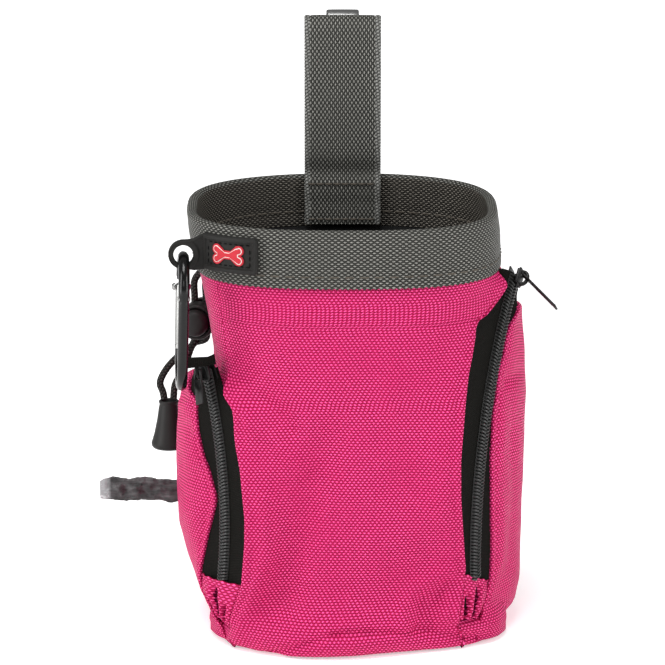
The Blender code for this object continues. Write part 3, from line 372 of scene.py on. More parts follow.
def film_look():
    k = Look("bag_film")
    c = k.tree.nodes.new("ShaderNodeTexCoord")
    s = k.tree.nodes.new("ShaderNodeSeparateXYZ")
    k.tree.links.new(c.outputs["Object"], s.inputs[0])
    # thin single layer at the free corner, many layers where it is gathered
    thin = k.sums("MULTIPLY", k.sums("SUBTRACT", k.sums("MULTIPLY", s.outputs[0], -1.0), 0.0755), 420.0, clamp=True)
    fine = k.noise(520.0, 4.0, 0.65, (0.22, 1.0, 1.0))
    tone = k.mix(thin, k.mix(k.sums("POWER", fine, 3.0), (0.004, 0.004, 0.004), (0.26, 0.24, 0.25)), (0.36, 0.36, 0.37))
    k.set(Base_Color=tone, Roughness=k.sums("ADD", 0.24, k.sums("MULTIPLY", fine, 0.2)), Specular_IOR_Level=0.3,
          Transmission_Weight=k.sums("MULTIPLY", thin, 0.55), Normal=k.bump(fine, 0.0007, 0.9))
    return k.mat


STEEL = steel_look()
FILM = film_look()
SPRING = moulded_look("spring_wire", (0.45, 0.45, 0.45), 0.35, 0.5, 0.000004, 2600.0, metal=1.0)

# ------------------------------------------------------------ mesh helpers


def finish_mesh(name, bm, mat, ride_on, node=(), flat=False, sharp=40.0):
    mesh = bpy.data.meshes.new(name)
    bm.to_mesh(mesh)
    bm.free()
    if flat:
        mesh.shade_flat()
    else:
        mesh.shade_smooth()
        mesh.set_sharp_from_angle(angle=math.radians(sharp))
    for m in (mat if isinstance(mat, (list, tuple)) else [mat]):
        mesh.materials.append(m)
    thing = bpy.data.objects.new(name, mesh)
    scene.collection.objects.link(thing)
    if ride_on:
        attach(thing, ride_on)
    if node:
        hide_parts(*([node] if isinstance(node, str) else node))
    return thing


def lay_uv(bm, uvs):
    """uvs: dict vert index -> (u, v)."""
    layer = bm.loops.layers.uv.get("mm") or bm.loops.layers.uv.new("mm")
    for face in bm.faces:
        for loop in face.loops:
            loop[layer].uv = uvs[loop.vert]


def grid_mesh(rows, uv_rows, closed=False, bm=None, flip=False, index=None):
    """Quads through rows of points (metres); each has its UV in millimetres.
    A closed grid repeats its first column, so that the UV doesn't fold back."""
    own = bm or bmesh.new()
    layer = own.loops.layers.uv.get("mm") or own.loops.layers.uv.new("mm")
    lines = [[own.verts.new(p) for p in row] for row in rows]
    n = len(rows[0])
    for j in range(len(rows) - 1):
        for i in range(n if closed else n - 1):
            k = (i + 1) % n
            corner = [(j, i), (j, k), (j + 1, k), (j + 1, i)]
            uv = [uv_rows[j][i], uv_rows[j][i + 1], uv_rows[j + 1][i + 1], uv_rows[j + 1][i]]
            if flip:
                corner.reverse()
                uv.reverse()
            try:
                f = own.faces.new([lines[a][b] for a, b in corner])
            except ValueError:
                continue
            if index is not None:
                f.material_index = index
            for loop, c in zip(f.loops, uv):
                loop[layer].uv = c
    return own, lines


def arc_uv(rows, closed):
    """UVs from the true length along each row and up the middle column."""
    out = []
    v = 0.0
    mid = len(rows[0]) // 2
    for j, row in enumerate(rows):
        if j:
            v += (Vector(row[mid]) - Vector(rows[j - 1][mid])).length / MM
        pts = list(row) + ([row[0]] if closed else [])
        run = [0.0]
        for a, b in zip(pts, pts[1:]):
            run.append(run[-1] + (Vector(b) - Vector(a)).length / MM)
        centre = run[mid]
        out.append([(r - centre, v) for r in run])
    return out


def thicken(bm, depth, inside=True):
    """Recalculates the sheet's face normals; it adds no second skin."""
    bmesh.ops.recalc_face_normals(bm, faces=bm.faces)
    return bm


def solid(thing, depth, offset=-1.0):
    mod = thing.modifiers.new("Thickness", "SOLIDIFY")
    mod.thickness = depth * MM
    mod.offset = offset
    mod.use_even_offset = False
    mod.use_rim = True
    return mod


def sweep_tube(bm, path, radius, sides=12, cap=True, cyclic=False, index=None, v0=0.0, squash=None):
    """Round tube along points (metres); radius in mm or a function of the share along."""
    layer = bm.loops.layers.uv.get("mm") or bm.loops.layers.uv.new("mm")
    n = len(path)
    tangents = []
    for i in range(n):
        a = path[(i - 1) % n] if cyclic else path[max(0, i - 1)]
        b = path[(i + 1) % n] if cyclic else path[min(n - 1, i + 1)]
        tangents.append((b - a).normalized())
    ref = Vector((0, 0, 1)) if abs(tangents[0].z) < 0.9 else Vector((1, 0, 0))
    normal = (ref - tangents[0] * ref.dot(tangents[0])).normalized()
    rings, v = [], v0
    vs = []
    for i in range(n):
        if i:
            v += (path[i] - path[i - 1]).length / MM
            normal = (normal - tangents[i] * normal.dot(tangents[i])).normalized()
        vs.append(v)
        side = tangents[i].cross(normal)
        r = radius(i / (n - 1.0)) if callable(radius) else radius
        ring = []
        for k in range(sides):
            a = 2 * math.pi * k / sides
            ring.append(bm.verts.new(path[i] + (normal * math.cos(a) + side * math.sin(a)) * r * MM))
        rings.append(ring)
    rr = radius(0.5) if callable(radius) else radius
    pairs = list(zip(range(n - 1), range(1, n)))
    if cyclic:
        pairs.append((n - 1, 0))
    for i, j in pairs:
        for k in range(sides):
            m = (k + 1) % sides
            f = bm.faces.new((rings[i][k], rings[i][m], rings[j][m], rings[j][k]))
            if index is not None:
                f.material_index = index
            vj = vs[j] if j > i else vs[i] + (path[0] - path[i]).length / MM
            w = 2 * math.pi * rr / sides
            for loop, c in zip(f.loops, ((k * w, vs[i]), ((k + 1) * w, vs[i]), ((k + 1) * w, vj), (k * w, vj))):
                loop[layer].uv = c
    if cap and not cyclic:
        for ring, flip in ((rings[0], True), (rings[-1], False)):
            f = bm.faces.new(list(reversed(ring)) if flip else ring)
            if index is not None:
                f.material_index = index
    return rings


def stitch_run(bm, points, normals, pitch, length, radius, lift=0.1, phase=0.0, sides=6, sink=0.3, index=None):
    """Thread laid in separate stitches along a line: each dives in at its ends."""
    run = [0.0]
    for a, b in zip(points, points[1:]):
        run.append(run[-1] + (b - a).length / MM)

    def spot_on(s):
        k = 0
        while k < len(run) - 2 and run[k + 1] < s:
            k += 1
        t = (s - run[k]) / max(1e-9, run[k + 1] - run[k])
        return points[k].lerp(points[k + 1], t), normals[k].lerp(normals[k + 1], t).normalized()

    s = phase
    while s + length < run[-1]:
        path = []
        for i in range(7):
            t = i / 6.0
            p, n = spot_on(s + length * t)
            rise = math.sin(math.pi * min(1.0, max(0.0, t))) ** 0.6
            path.append(p + n * ((lift - sink) + (sink + radius * 0.55) * rise) * MM)
        sweep_tube(bm, path, lambda f: radius * (0.72 + 0.28 * math.sin(math.pi * f)), sides, index=index)
        s += pitch


def turned_mesh(bm, profile, where, steps=64, closed=False, index=None):
    """Turned shape from (r, z) points in mm."""
    pts = list(profile)
    run = [0.0]
    for a, b in zip(pts, pts[1:]):
        run.append(run[-1] + math.dist(a, b))
    layer = bm.loops.layers.uv.get("mm") or bm.loops.layers.uv.new("mm")
    rings = []
    for r, z in pts:
        if r < 1e-6:
            rings.append([bm.verts.new(where @ (Vector((0, 0, z)) * MM))])
        else:
            rings.append([bm.verts.new(where @ (Vector((r * math.cos(2 * math.pi * k / steps), r * math.sin(2 * math.pi * k / steps), z)) * MM)) for k in range(steps)])
    order = list(range(len(pts)))
    pairs = list(zip(order, order[1:])) + ([(order[-1], order[0])] if closed else [])
    top_r = max(r for r, _ in pts)
    for i, j in pairs:
        for k in range(steps):
            m = (k + 1) % steps
            a = [rings[i][k % len(rings[i])], rings[i][m % len(rings[i])], rings[j][m % len(rings[j])], rings[j][k % len(rings[j])]]
            uv = [(k, run[i]), (k + 1, run[i]), (k + 1, run[j]), (k, run[j])]
            verts, uvs = [], []
            for vtx, c in zip(a, uv):
                if vtx not in verts:
                    verts.append(vtx)
                    uvs.append(c)
            if len(verts) < 3:
                continue
            f = bm.faces.new(verts)
            if index is not None:
                f.material_index = index
            for loop, c in zip(f.loops, uvs):
                loop[layer].uv = (c[0] * 2 * math.pi * top_r / steps, c[1])
    return rings


def rounded(profile, r=0.35, n=4):
    """The same profile with each inner corner turned into a small arc."""
    out = [profile[0]]
    for a, b, c in zip(profile, profile[1:], profile[2:]):
        va, vc = Vector((a[0] - b[0], a[1] - b[1])), Vector((c[0] - b[0], c[1] - b[1]))
        la, lc = va.length, vc.length
        if la < 1e-6 or lc < 1e-6 or va.normalized().dot(vc.normalized()) < -0.985:
            out.append(b)
            continue
        cut = min(r, la * 0.45, lc * 0.45)
        p, q = Vector(b) + va.normalized() * cut, Vector(b) + vc.normalized() * cut
        for k in range(n + 1):
            t = k / n
            s = p * (1 - t) ** 2 + Vector(b) * 2 * t * (1 - t) + q * t ** 2
            out.append((s.x, s.y))
    out.append(profile[-1])
    return out


def turned(name, profile, where, mat, body, node=(), steps=64, closed=False, r=0.35):
    bm = bmesh.new()
    turned_mesh(bm, rounded(profile, r), where, steps, closed)
    bmesh.ops.recalc_face_normals(bm, faces=bm.faces)
    return finish_mesh(name, bm, mat, body, node, sharp=50.0)


def slab(bm, size, where, bevel=0.25, segments=3, index=None, taper=1.0):
    """Block with rounded edges, narrowed towards its far end."""
    made = bmesh.ops.create_cube(bm, size=1.0)["verts"]
    for v in made:
        f = taper if v.co.y > 0 else 1.0
        v.co = Vector((v.co.x * size[0] * f, v.co.y * size[1], v.co.z * size[2])) * MM
    edges = list({e for v in made for e in v.link_edges})
    got = bmesh.ops.bevel(bm, geom=edges, offset=bevel * MM, segments=segments, profile=0.5, affect="EDGES")
    verts = {v for f in got["faces"] for v in f.verts} | {v for v in made if v.is_valid}
    for v in verts:
        v.co = where @ v.co
    if index is not None:
        for f in {f for v in verts for f in v.link_faces}:
            f.material_index = index
    return verts


def cut_with(thing, cutter):
    mod = thing.modifiers.new("Cut", "BOOLEAN")
    mod.operation = "DIFFERENCE"
    mod.object = cutter
    mod.solver = "EXACT"


def apply_all(thing):
    """The mesh with its modifiers applied."""
    bpy.context.view_layer.update()
    graph = bpy.context.evaluated_depsgraph_get()
    mesh = bpy.data.meshes.new_from_object(thing.evaluated_get(graph), preserve_all_data_layers=True, depsgraph=graph)
    thing.modifiers.clear()
    thing.data = mesh
    return thing


def bored(thing, cutters):
    """Cuts the cutters from the piece, applies that, and takes the cutters away."""
    for c in cutters:
        cut_with(thing, c)
    apply_all(thing)
    for c in cutters:
        bpy.data.objects.remove(c)
    return thing


def cutter(build):
    bm = bmesh.new()
    build(bm)
    bmesh.ops.recalc_face_normals(bm, faces=bm.faces)
    mesh = bpy.data.meshes.new("cutter")
    bm.to_mesh(mesh)
    bm.free()
    thing = bpy.data.objects.new("cutter", mesh)
    scene.collection.objects.link(thing)
    return thing


# ---------------------------------------------------------------- cords first
gro = at(GROMMET_AZ, wall_radius(GROMMET_AZ, GROMMET_Z), GROMMET_Z) / MM
step = at(GROMMET_AZ + 1.5, wall_radius(GROMMET_AZ + 1.5, GROMMET_Z), GROMMET_Z) / MM - at(GROMMET_AZ - 1.5, wall_radius(GROMMET_AZ - 1.5, GROMMET_Z), GROMMET_Z) / MM
gro_side = step.normalized()
rise = (at(GROMMET_AZ, wall_radius(GROMMET_AZ, GROMMET_Z + 4.0), GROMMET_Z + 4.0) - at(GROMMET_AZ, wall_radius(GROMMET_AZ, GROMMET_Z - 4.0), GROMMET_Z - 4.0)).normalized()
gro_out = gro_side.cross(rise).normalized()
if gro_out.x > 0:
    gro_out.negate()
gro_up = gro_out.cross(gro_side).normalized()
gro_m = frame_at(gro, gro_side, gro_out.cross(gro_side), gro_out)
lock_axis = Vector((math.sin(math.radians(LOCK_TURN)), -math.cos(math.radians(LOCK_TURN)), 0.0))
lock_side = Vector((0, 0, 1)).cross(lock_axis)
lock_m = frame_at(LOCK, lock_side, lock_axis.cross(lock_side), lock_axis)
lx, ly, lz = LOCK
bell_m = Matrix.Translation(Vector((*BELL_XY, BELL_Z[0])) * MM)

bell = turned("bell_end", [
    (0.0, 15.1), (2.0, 15.3), (2.2, 15.9), (2.9, 16.1), (3.2, 15.9), (3.3, 15.5), (3.1, 15.1), (3.05, 14.7), (3.25, 13.8), (3.9, 9.6), (4.8, 5.2), (5.5, 2.9),
    (5.78, 2.1), (5.72, 1.2), (5.3, 0.5), (4.6, 0.15), (0.0, 0.0),
], bell_m, PLASTIC, "pouch", "cord_end_bell", r=0.5)

tails = {}
for word, s in (("left", -1.0), ("right", 1.0)):
    toward = gro_side if lock_side.dot(gro_side) > 0 else gro_side * -1.0
    inside = gro + gro_out * -1.2 + toward * (s * 1.68) + gro_up * (s * -0.85)
    outside = inside + gro_out * 4.0
    through = Vector((lx, ly, 0)) + lock_side * (s * 1.85)
    down = [inside, inside + gro_out * 2.2, outside + Vector((0, 0, -0.5)),
            Vector((through.x * 0.74 + outside.x * 0.26 + 0.3 * s, through.y * 0.74 + outside.y * 0.26, GROMMET_Z - 3.6 + 0.3 * s)) + Vector((1.2, 0, 0)),
            Vector((through.x, through.y, GROMMET_Z - 7.4)), Vector((through.x, through.y, lz + 7.0)),
            Vector((through.x, through.y, lz)), Vector((through.x, through.y, lz - 6.4))]
    bx, by = BELL_XY
    if s < 0:
        down += [Vector((-50.4, 25.8, 80.6)), Vector((-54.6, 25.5, 77.6)), Vector((-58.0, 25.2, 73.8)), Vector((-60.0, 25.0, 69.6)), Vector((-59.1, 24.8, 66.4)), Vector((bx - 1.5, by, BELL_Z[1] + 0.6))]
    else:
        down += [Vector((-49.2, 28.4, 81.6)), Vector((-51.4, 27.8, 76.6)), Vector((-53.2, 26.6, 72.4)), Vector((-55.2, 25.4, 68.6)), Vector((bx + 1.5, by, BELL_Z[1] + 0.6))]
    path = smooth_path(down, 90)
    bm = bmesh.new()
    sweep_tube(bm, path, lambda f: 1.13 * (1.0 + 0.02 * math.sin(f * 240.0)), 20)
    tail = finish_mesh(f"drawstring_braid_{word}", bm, CORD, "pouch", f"drawstring_tail_{word}")
    length = sum((b - a).length for a, b in zip(path, path[1:]))
    tails[word] = (tail, length)

# The bell's mouth is bored for the two strands
bored(bell, [cutter(lambda b: turned_mesh(b, [(0.0, 14.6), (1.1, 14.6), (1.1, 19.0), (0.0, 19.0)], bell_m @ Matrix.Translation((0.0015 * s, 0, 0)), 20)) for s in (-1, 1)])

# ------------------------------------------------------- zip lines and edges
LEFT_TAPE_OUTER = (   # picture height, picture x: the pocket's edge over the tape
    (352.0, 190.0), (371.5, 193.3), (377.0, 191.2), (385.0, 190.4), (390.0, 190.8), (395.0, 194.0), (398.0, 197.4), (403.0, 198.7),
    (410.0, 198.3), (419.0, 198.7), (431.0, 199.9), (442.0, 202.0), (456.0, 205.7), (470.0, 210.7), (492.0, 217.0), (501.0, 218.0),
    (510.0, 216.0), (533.0, 210.0), (565.0, 203.0), (575.0, 202.0), (589.0, 204.0), (601.5, 211.0), (612.0, 215.4), (626.0, 221.0), (640.0, 226.0))
LEFT_TAPE_INNER = (
    (352.0, 214.0), (365.0, 215.7), (375.0, 218.0), (386.0, 222.0), (397.0, 226.4), (404.6, 231.4), (409.0, 234.5), (423.0, 236.0), (435.0, 236.4),
    (448.0, 238.0), (470.0, 242.0), (518.0, 246.5), (544.0, 246.5), (577.0, 244.0), (584.0, 243.5), (596.0, 239.6), (611.0, 234.5),
    (617.0, 232.5), (624.0, 231.5), (632.0, 230.5), (640.0, 230.0))
RIGHT_TAPE_INNER = (
    (262.0, 502.0), (268.6, 503.0), (279.0, 505.0), (285.0, 505.0), (292.0, 501.0), (301.0, 493.5), (311.0, 484.0), (317.0, 477.5), (326.5, 474.0),
    (336.0, 473.4), (355.0, 470.5), (374.0, 466.7), (400.0, 463.8), (460.0, 459.0), (498.0, 459.0), (545.0, 462.0), (568.0, 463.6),
    (590.0, 461.0), (617.0, 457.0), (640.0, 462.0))
RIGHT_TAPE_OUTER = (
    (262.0, 516.0), (276.0, 517.0), (281.5, 520.0), (288.0, 521.0), (296.0, 520.7), (304.5, 519.0), (311.0, 516.4), (319.0, 512.0), (325.5, 508.0),
    (333.0, 506.0), (341.0, 504.0), (355.0, 502.0), (365.0, 498.0), (377.0, 496.0), (400.0, 494.0), (406.0, 492.0), (460.0, 489.0),
    (498.0, 489.4), (553.0, 490.0), (579.0, 488.6), (600.0, 483.0), (622.0, 475.0), (640.0, 470.0))


def circle(points):
    a, b, c = (Vector(p) for p in points)
    ab, ac = b - a, c - a
    axis = ab.cross(ac)
    n = axis.normalized()
    centre = a + (ab.length_squared * ac.cross(axis) + ac.length_squared * axis.cross(ab)) / (2.0 * axis.length_squared)
    return centre, (a - centre).length, n


class Track:
    """A zip's arc, with the tape's edges where the camera sees them."""

    def __init__(self, points, outward, tilt, back_edge, front_edge, below):
        self.centre, self.radius, self.axis = circle(points)
        if self.axis.dot(Vector(outward)) < 0:
            self.axis = -self.axis
        self.first = (Vector(points[0]) - self.centre).normalized()
        last = (Vector(points[2]) - self.centre).normalized()
        self.sweep = self.first.angle(last)
        self.turn = 1.0 if self.first.cross(last).dot(self.axis) > 0 else -1.0
        self.tilt = tilt
        start = -3.4 / self.radius
        end = self.sweep + below / self.radius
        self.rows = []
        count = 110
        for k in range(count + 1):
            angle = start + (end - start) * k / count
            c, d, n = self.at(angle)
            halves = []
            for edge in (back_edge, front_edge):
                w = -5.0 if edge is back_edge else 5.0
                for _ in range(4):
                    x, y = seen((c + d * w) * MM)
                    x2, _y = seen((c + d * (w + 0.5)) * MM)
                    w += (table(edge, y) - x) / ((x2 - x) / 0.5)
                halves.append(w)
            self.rows.append((angle, c, d, n, halves[0], halves[1]))

    def at(self, angle):
        """Centre, direction across towards the front panel, and outward normal (mm)."""
        ray = Matrix.Rotation(self.turn * angle, 3, self.axis) @ self.first
        tilt = math.radians(self.tilt)
        return (self.centre + ray * self.radius, ray * math.cos(tilt) + self.axis * math.sin(tilt),
                self.axis * math.cos(tilt) - ray * math.sin(tilt))

    def edge(self, which, lift=0.0, extra=0.0):
        """Rows of (z, azimuth, radius) of an edge, rising."""
        out = []
        for _a, c, d, n, back, front in self.rows:
            p = c + d * ((back - extra) if which == 0 else (front + extra)) + n * lift
            out.append((p.z, math.degrees(math.atan2(p.y, p.x)) % 360.0, math.hypot(p.x, p.y)))
        return sorted(out)


left = Track(LEFT_ZIP, (-1, -1, 0), 10.0, LEFT_TAPE_OUTER, LEFT_TAPE_INNER, 17.0)
right = Track(RIGHT_ZIP, (1, -1, 0), -14.0, RIGHT_TAPE_OUTER, RIGHT_TAPE_INNER, 19.0)
LIP = 0.75
LB, LF = left.edge(0, LIP), left.edge(1, LIP)
RB, RF = right.edge(0, LIP), right.edge(1, LIP)
print("left halves", [(round(r[1].z), round(r[4], 1), round(r[5], 1)) for r in left.rows[::10]])
print("right halves", [(round(r[1].z), round(r[4], 1), round(r[5], 1)) for r in right.rows[::10]])
LEFT_FADE = (79.5, 86.5)
RIGHT_FADE = (111.0, 117.0)

# --------------------------------------------------------------- soft folds
# Each: points where the camera sees the fold, half width there, height in mm
FOLDS = (
    (((245, 403), (263, 400), (283, 413), (293, 430)), 7.0, -1.1),
    (((243, 415), (272, 436), (303, 470)), 9.0, 1.2),
    (((262, 487), (266, 520), (270, 560)), 8.0, 1.0),
    (((252, 462), (262, 487)), 7.0, -0.8),
    (((330, 440), (315, 485), (292, 550), (280, 605)), 19.0, -2.0),
    (((270, 557), (253, 588), (242, 612), (234, 642)), 9.0, 1.5),
    (((383, 545), (415, 528), (450, 505)), 26.0, 1.9),
    (((453, 570), (425, 580), (408, 594), (401, 612), (403, 628)), 8.0, 1.5),
    (((446, 590), (432, 608), (427, 628)), 11.0, -1.9),
    (((470, 572), (461, 607)), 7.0, -1.6),
    (((335, 637), (350, 634), (370, 633)), 5.0, -1.0),
    (((305, 312), (345, 315)), 34.0, 1.0),
    (((421, 600), (419, 632)), 3.5, -0.7),
    (((264, 654), (290, 649), (304, 645), (333, 636), (422, 632), (483, 638)), 3.2, -1.3),
    (((290, 656), (340, 648), (422, 645), (480, 646)), 7.0, 0.9),
    (((497, 387), (523, 372)), 6.0, -1.3),
    (((500, 408), (503, 480), (500, 560)), 8.0, 0.8),
    (((512, 430), (513, 500), (508, 570)), 5.0, -0.7),
    (((183, 428), (201, 432)), 9.0, -1.1),
    (((183, 404), (197, 403)), 8.0, 0.8),
    (((187, 512), (210, 514)), 14.0, 0.9),
    (((184, 470), (206, 478)), 10.0, -0.6),
    (((360, 330), (380, 430)), 26.0, -0.7),
    (((430, 330), (438, 460)), 22.0, 0.6),
    (((234, 330), (252, 392)), 10.0, -0.5),
)


def to_line(x, y, pts):
    best, where = 1e9, 0.0
    n = len(pts) - 1
    for i in range(n):
        (ax, ay), (bx, by) = pts[i], pts[i + 1]
        dx, dy = bx - ax, by - ay
        t = max(0.0, min(1.0, ((x - ax) * dx + (y - ay) * dy) / (dx * dx + dy * dy)))
        d = math.hypot(x - ax - dx * t, y - ay - dy * t)
        if d < best:
            best, where = d, (i + t) / n
    return best, where


def fold(p, facing):
    """Outward offset in mm of the soft cloth at a point (metres)."""
    if facing < 0.02:
        front = 0.0
    else:
        front = smooth(facing, 0.02, 0.25)
    total = 0.0
    if front > 0:
        x, y = seen(p)
        for pts, width, amount in FOLDS:
            lo_x = min(q[0] for q in pts) - 3 * width
            hi_x = max(q[0] for q in pts) + 3 * width
            lo_y = min(q[1] for q in pts) - 3 * width
            hi_y = max(q[1] for q in pts) + 3 * width
            if lo_x < x < hi_x and lo_y < y < hi_y:
                d, t = to_line(x, y, pts)
                total += amount * math.exp(-(d / width) ** 2)
        total *= front
    q = p / MM
    total += 0.55 * noise.noise(Vector((q.x / 21.0, q.y / 21.0, q.z / 30.0)))
    total += 0.22 * noise.noise(Vector((q.x / 8.0, q.y / 8.0, q.z / 10.0 + 4.0)))
    back = 1.0 - smooth(facing, -0.3, 0.2)
    total += back * 0.8 * noise.noise(Vector((q.x / 16.0 + 9.0, q.y / 16.0, q.z / 34.0)))
    return total


# ------------------------------------------------------------- outer cloth
FOOT_OUTLINE = ((196.0, 0.0), (200.0, 46.4), (206.0, 48.6), (212.0, 50.4), (219.5, 52.6), (225.0, 53.6), (229.5, 55.2), (234.0, 56.6), (238.5, 57.2), (244.0, 56.6), (252.0, 54.4), (261.0, 51.8), (270.0, 49.8), (281.0, 48.4), (290.0, 48.0), (300.0, 48.9), (308.0, 50.9), (316.0, 53.0), (322.0, 54.4), (328.0, 54.9), (338.0, 53.8), (350.0, 51.2), (358.0, 49.0))


def foot_puff(az, z):
    """The padded foot bulges forward, most at its left corner."""
    az %= 360.0
    if not 196.0 < az < 357.0 or z > 40.0:
        return 0.0
    extra = max(0.0, table(FOOT_OUTLINE, az) - wall_radius(az, 0.0))
    extra *= smooth(az, 196.0, 212.0) * (1.0 - smooth(az, 334.0, 356.0))
    return min(7.5, extra) * math.exp(-(max(0.0, z - 3.0) / 9.5) ** 2)


def corner_in(z):
    """The wall turns in to the base over its last few millimetres."""
    return 0.0 if z > 3.0 else 1.6 * (1.0 - math.sqrt(max(0.0, 1.0 - ((3.0 - z) / 3.0) ** 2)))


def front_rows():
    rows = []
    zs = [0.08, 0.25, 0.55, 1.0, 1.6, 2.3] + [3.0 + (131.3 - 3.0) * k / 125.0 for k in range(126)]
    for z0 in zs:
        fl = (1.0 - smooth(z0, *LEFT_FADE)) * smooth(z0, 5.0, 8.5)
        fr = (1.0 - smooth(z0, *RIGHT_FADE)) * smooth(z0, 6.5, 10.0)
        lf, lb, rf, rb = (table(t, z0) for t in (LF, LB, RF, RB))
        lfr, lbr, rfr, rbr = (table(t, z0, 2) for t in (LF, LB, RF, RB))

        def nominal(az):
            return wall_radius(az, z0) - corner_in(z0) + foot_puff(az, z0)

        def level(az):
            return z0 + (rim_z(az) - RIM_MID_Z) * smooth(z0, 90.0, 120.0)

        cols = []
        span = rf - lf
        n = 120
        for k in range(n + 1):
            az = lf + span * k / n
            r = nominal(az)
            arc_l = (az - lf) * math.radians(1) * r
            arc_r = (rf - az) * math.radians(1) * r
            r += fl * (lfr - nominal(lf)) * math.exp(-(arc_l / 7.5) ** 2)
            r += fr * (rfr - nominal(rf)) * math.exp(-(arc_r / 7.5) ** 2)
            # folded edge over the tape, and the dip where it is sewn
            for arc, f in ((arc_l, fl), (arc_r, fr)):
                r += f * (0.35 * math.exp(-((arc - 0.9) / 0.8) ** 2) - 0.35 * math.exp(-((arc - 2.4) / 0.55) ** 2))
            cols.append((az, r, 1.0))
        # right lip turns under
        for d_az, dr in ((-0.05, 0.35), (-0.02, 0.8), (0.25, 1.25)):
            cols.append((rf - d_az * 1.0, cols[n][1] - dr * fr, 1.0 - 0.8 * fr))
        zone = (rb + 360.0 - rf) % 360.0
        m = 10
        for k in range(1, m + 1):
            t = k / m
            az = rf + 0.4 + (zone - 0.4) * t
            flat = rfr + (rbr - rfr) * t
            cols.append((az, (flat - 3.7) * fr + nominal(az) * (1 - fr), 0.0 if fr > 0.5 else 1.0))
        start = rf + zone
        span = (lb + 360.0 - start)
        if span > 360:
            span -= 360
        m2 = 96
        for k in range(1, m2 + 1):
            t = k / (m2 + 1.0)
            az = start + span * t
            r = nominal(az)
            arc_r = span * t * math.radians(1) * r
            arc_l = span * (1 - t) * math.radians(1) * r
            r += fr * (rbr - 3.7 - nominal(start)) * math.exp(-(arc_r / 6.0) ** 2)
            r += fl * (lbr - 3.7 - nominal(lb)) * math.exp(-(arc_l / 6.0) ** 2)
            cols.append((az, r, 1.0))
        zone = lf - lb
        for k in range(0, m):
            t = k / m
            az = lb + zone * t
            if t > 0.97:
                az -= 0.4
            flat = lbr + (lfr - lbr) * t
            cols.append((az, (flat - 3.7) * fl + nominal(az) * (1 - fl), 0.0 if fl > 0.5 else 1.0))
        for d_az, dr in ((0.25, 1.25), (-0.02, 0.8), (-0.05, 0.35)):
            cols.append((lf - abs(d_az) * (1 if d_az > 0 else 0), cols[0][1] - dr * fl, 1.0 - 0.8 * fl))
        row = []
        for az, r, soft in cols:
            z = level(az)
            p = at(az, r, z)
            out = Vector((math.cos(math.radians(az)), math.sin(math.radians(az)), 0.0))
            hold = smooth(rim_z(az) - z, BINDING_DROP - 1.0, BINDING_DROP + 12.0)     # held flat under the binding
            edge_l = smooth(min(abs(az - lf), abs(az - 360 - lf)), 0.5, 7.0) if fl > 0 else 1.0
            edge_r = smooth(abs(az - rf), 0.5, 7.0) if fr > 0 else 1.0
            p += out * fold(p, -out.y) * hold * soft * min(1.0, edge_l + 1 - fl) * min(1.0, edge_r + 1 - fr) * MM
            row.append(p)
        rows.append(row)
    return rows


rows = front_rows()
uv = []
for j, row in enumerate(rows):
    pts = row + [row[0]]
    run = [0.0]
    for a, b in zip(pts, pts[1:]):
        run.append(run[-1] + math.hypot(b.x - a.x, b.y - a.y) / MM)
    mid = run[60]
    uv.append([(r - mid, row[60].z / MM) for r in run])
bm, lines = grid_mesh(rows, uv, closed=True)
gone = [f for f in bm.faces if f.calc_center_median().x < -0.0295 and -0.0145 < f.calc_center_median().y < 0.0185 and 0.0125 < f.calc_center_median().z < 0.0738]
bmesh.ops.delete(bm, geom=gone, context="FACES")
wall = finish_mesh("outer_cloth", bm, PINK, "pouch", "outer_wall", sharp=70.0)
solid(wall, WALL)

# base: a soft panel
rows, uvr = [], []
ring_n = 150
for f in (0.02, 0.2, 0.4, 0.6, 0.8, 0.93, 1.0):
    row = []
    for k in range(ring_n):
        az = 360.0 * k / ring_n
        r = (wall_radius(az, 0.0) + foot_puff(az, 0.0) - 1.8) * f
        row.append(at(az, r, 0.12 + 0.25 * abs(noise.noise(Vector((r * math.cos(math.radians(az)) / 12.0, r * math.sin(math.radians(az)) / 12.0, 0.3))))))
    rows.append(row)
    pts = row + [row[0]]
    uvr.append([(p.x / MM, p.y / MM) for p in pts])
bm, lines = grid_mesh(rows, uvr, closed=True, flip=True)
bm.faces.new(list(lines[0]))
base = finish_mesh("base_cloth", bm, PINK, "pouch", "base_panel")
solid(base, 0.8, 1.0)

# ------------------------------------------------------------------- lining
rows = []
for z in (2.6, 5.0, 12.0, 24.0, 40.0, 58.0, 76.0, 84.0, 94.0, 100.0, 103.0, 106.0, 110.0, 114.4, 117.2, 124.0, 131.0):
    row = []
    for k in range(120):
        az = 3.0 * k
        height = z + (rim_z(az) - RIM_MID_Z) * min(1.0, max(0.0, (z - 90.0) / 20.0))
        reach = wall_radius(az, height, left=table(LINING_LEFT, z)) - table(CHANNEL, z) - 5.6 * (1.0 - smooth(z, 90.0, 101.0))
        p = at(az, reach, height)
        if 8 < z < 100:
            p += Vector((p.x, p.y, 0)).normalized() * -abs(noise.noise(p / MM / 14.0)) * 1.2 * MM
        row.append(p)
    rows.append(row)
bm, lines = grid_mesh(rows, arc_uv(rows, True), closed=True)
bm.faces.new(list(reversed(lines[0])))
lining = finish_mesh("lining_cloth", bm, LININGC, "pouch", "lining")
solid(lining, 0.4)

# -------------------------------------------------------------- rim binding
def rim_point(az, off, z):
    return at(az, wall_radius(az, z) + off, z)


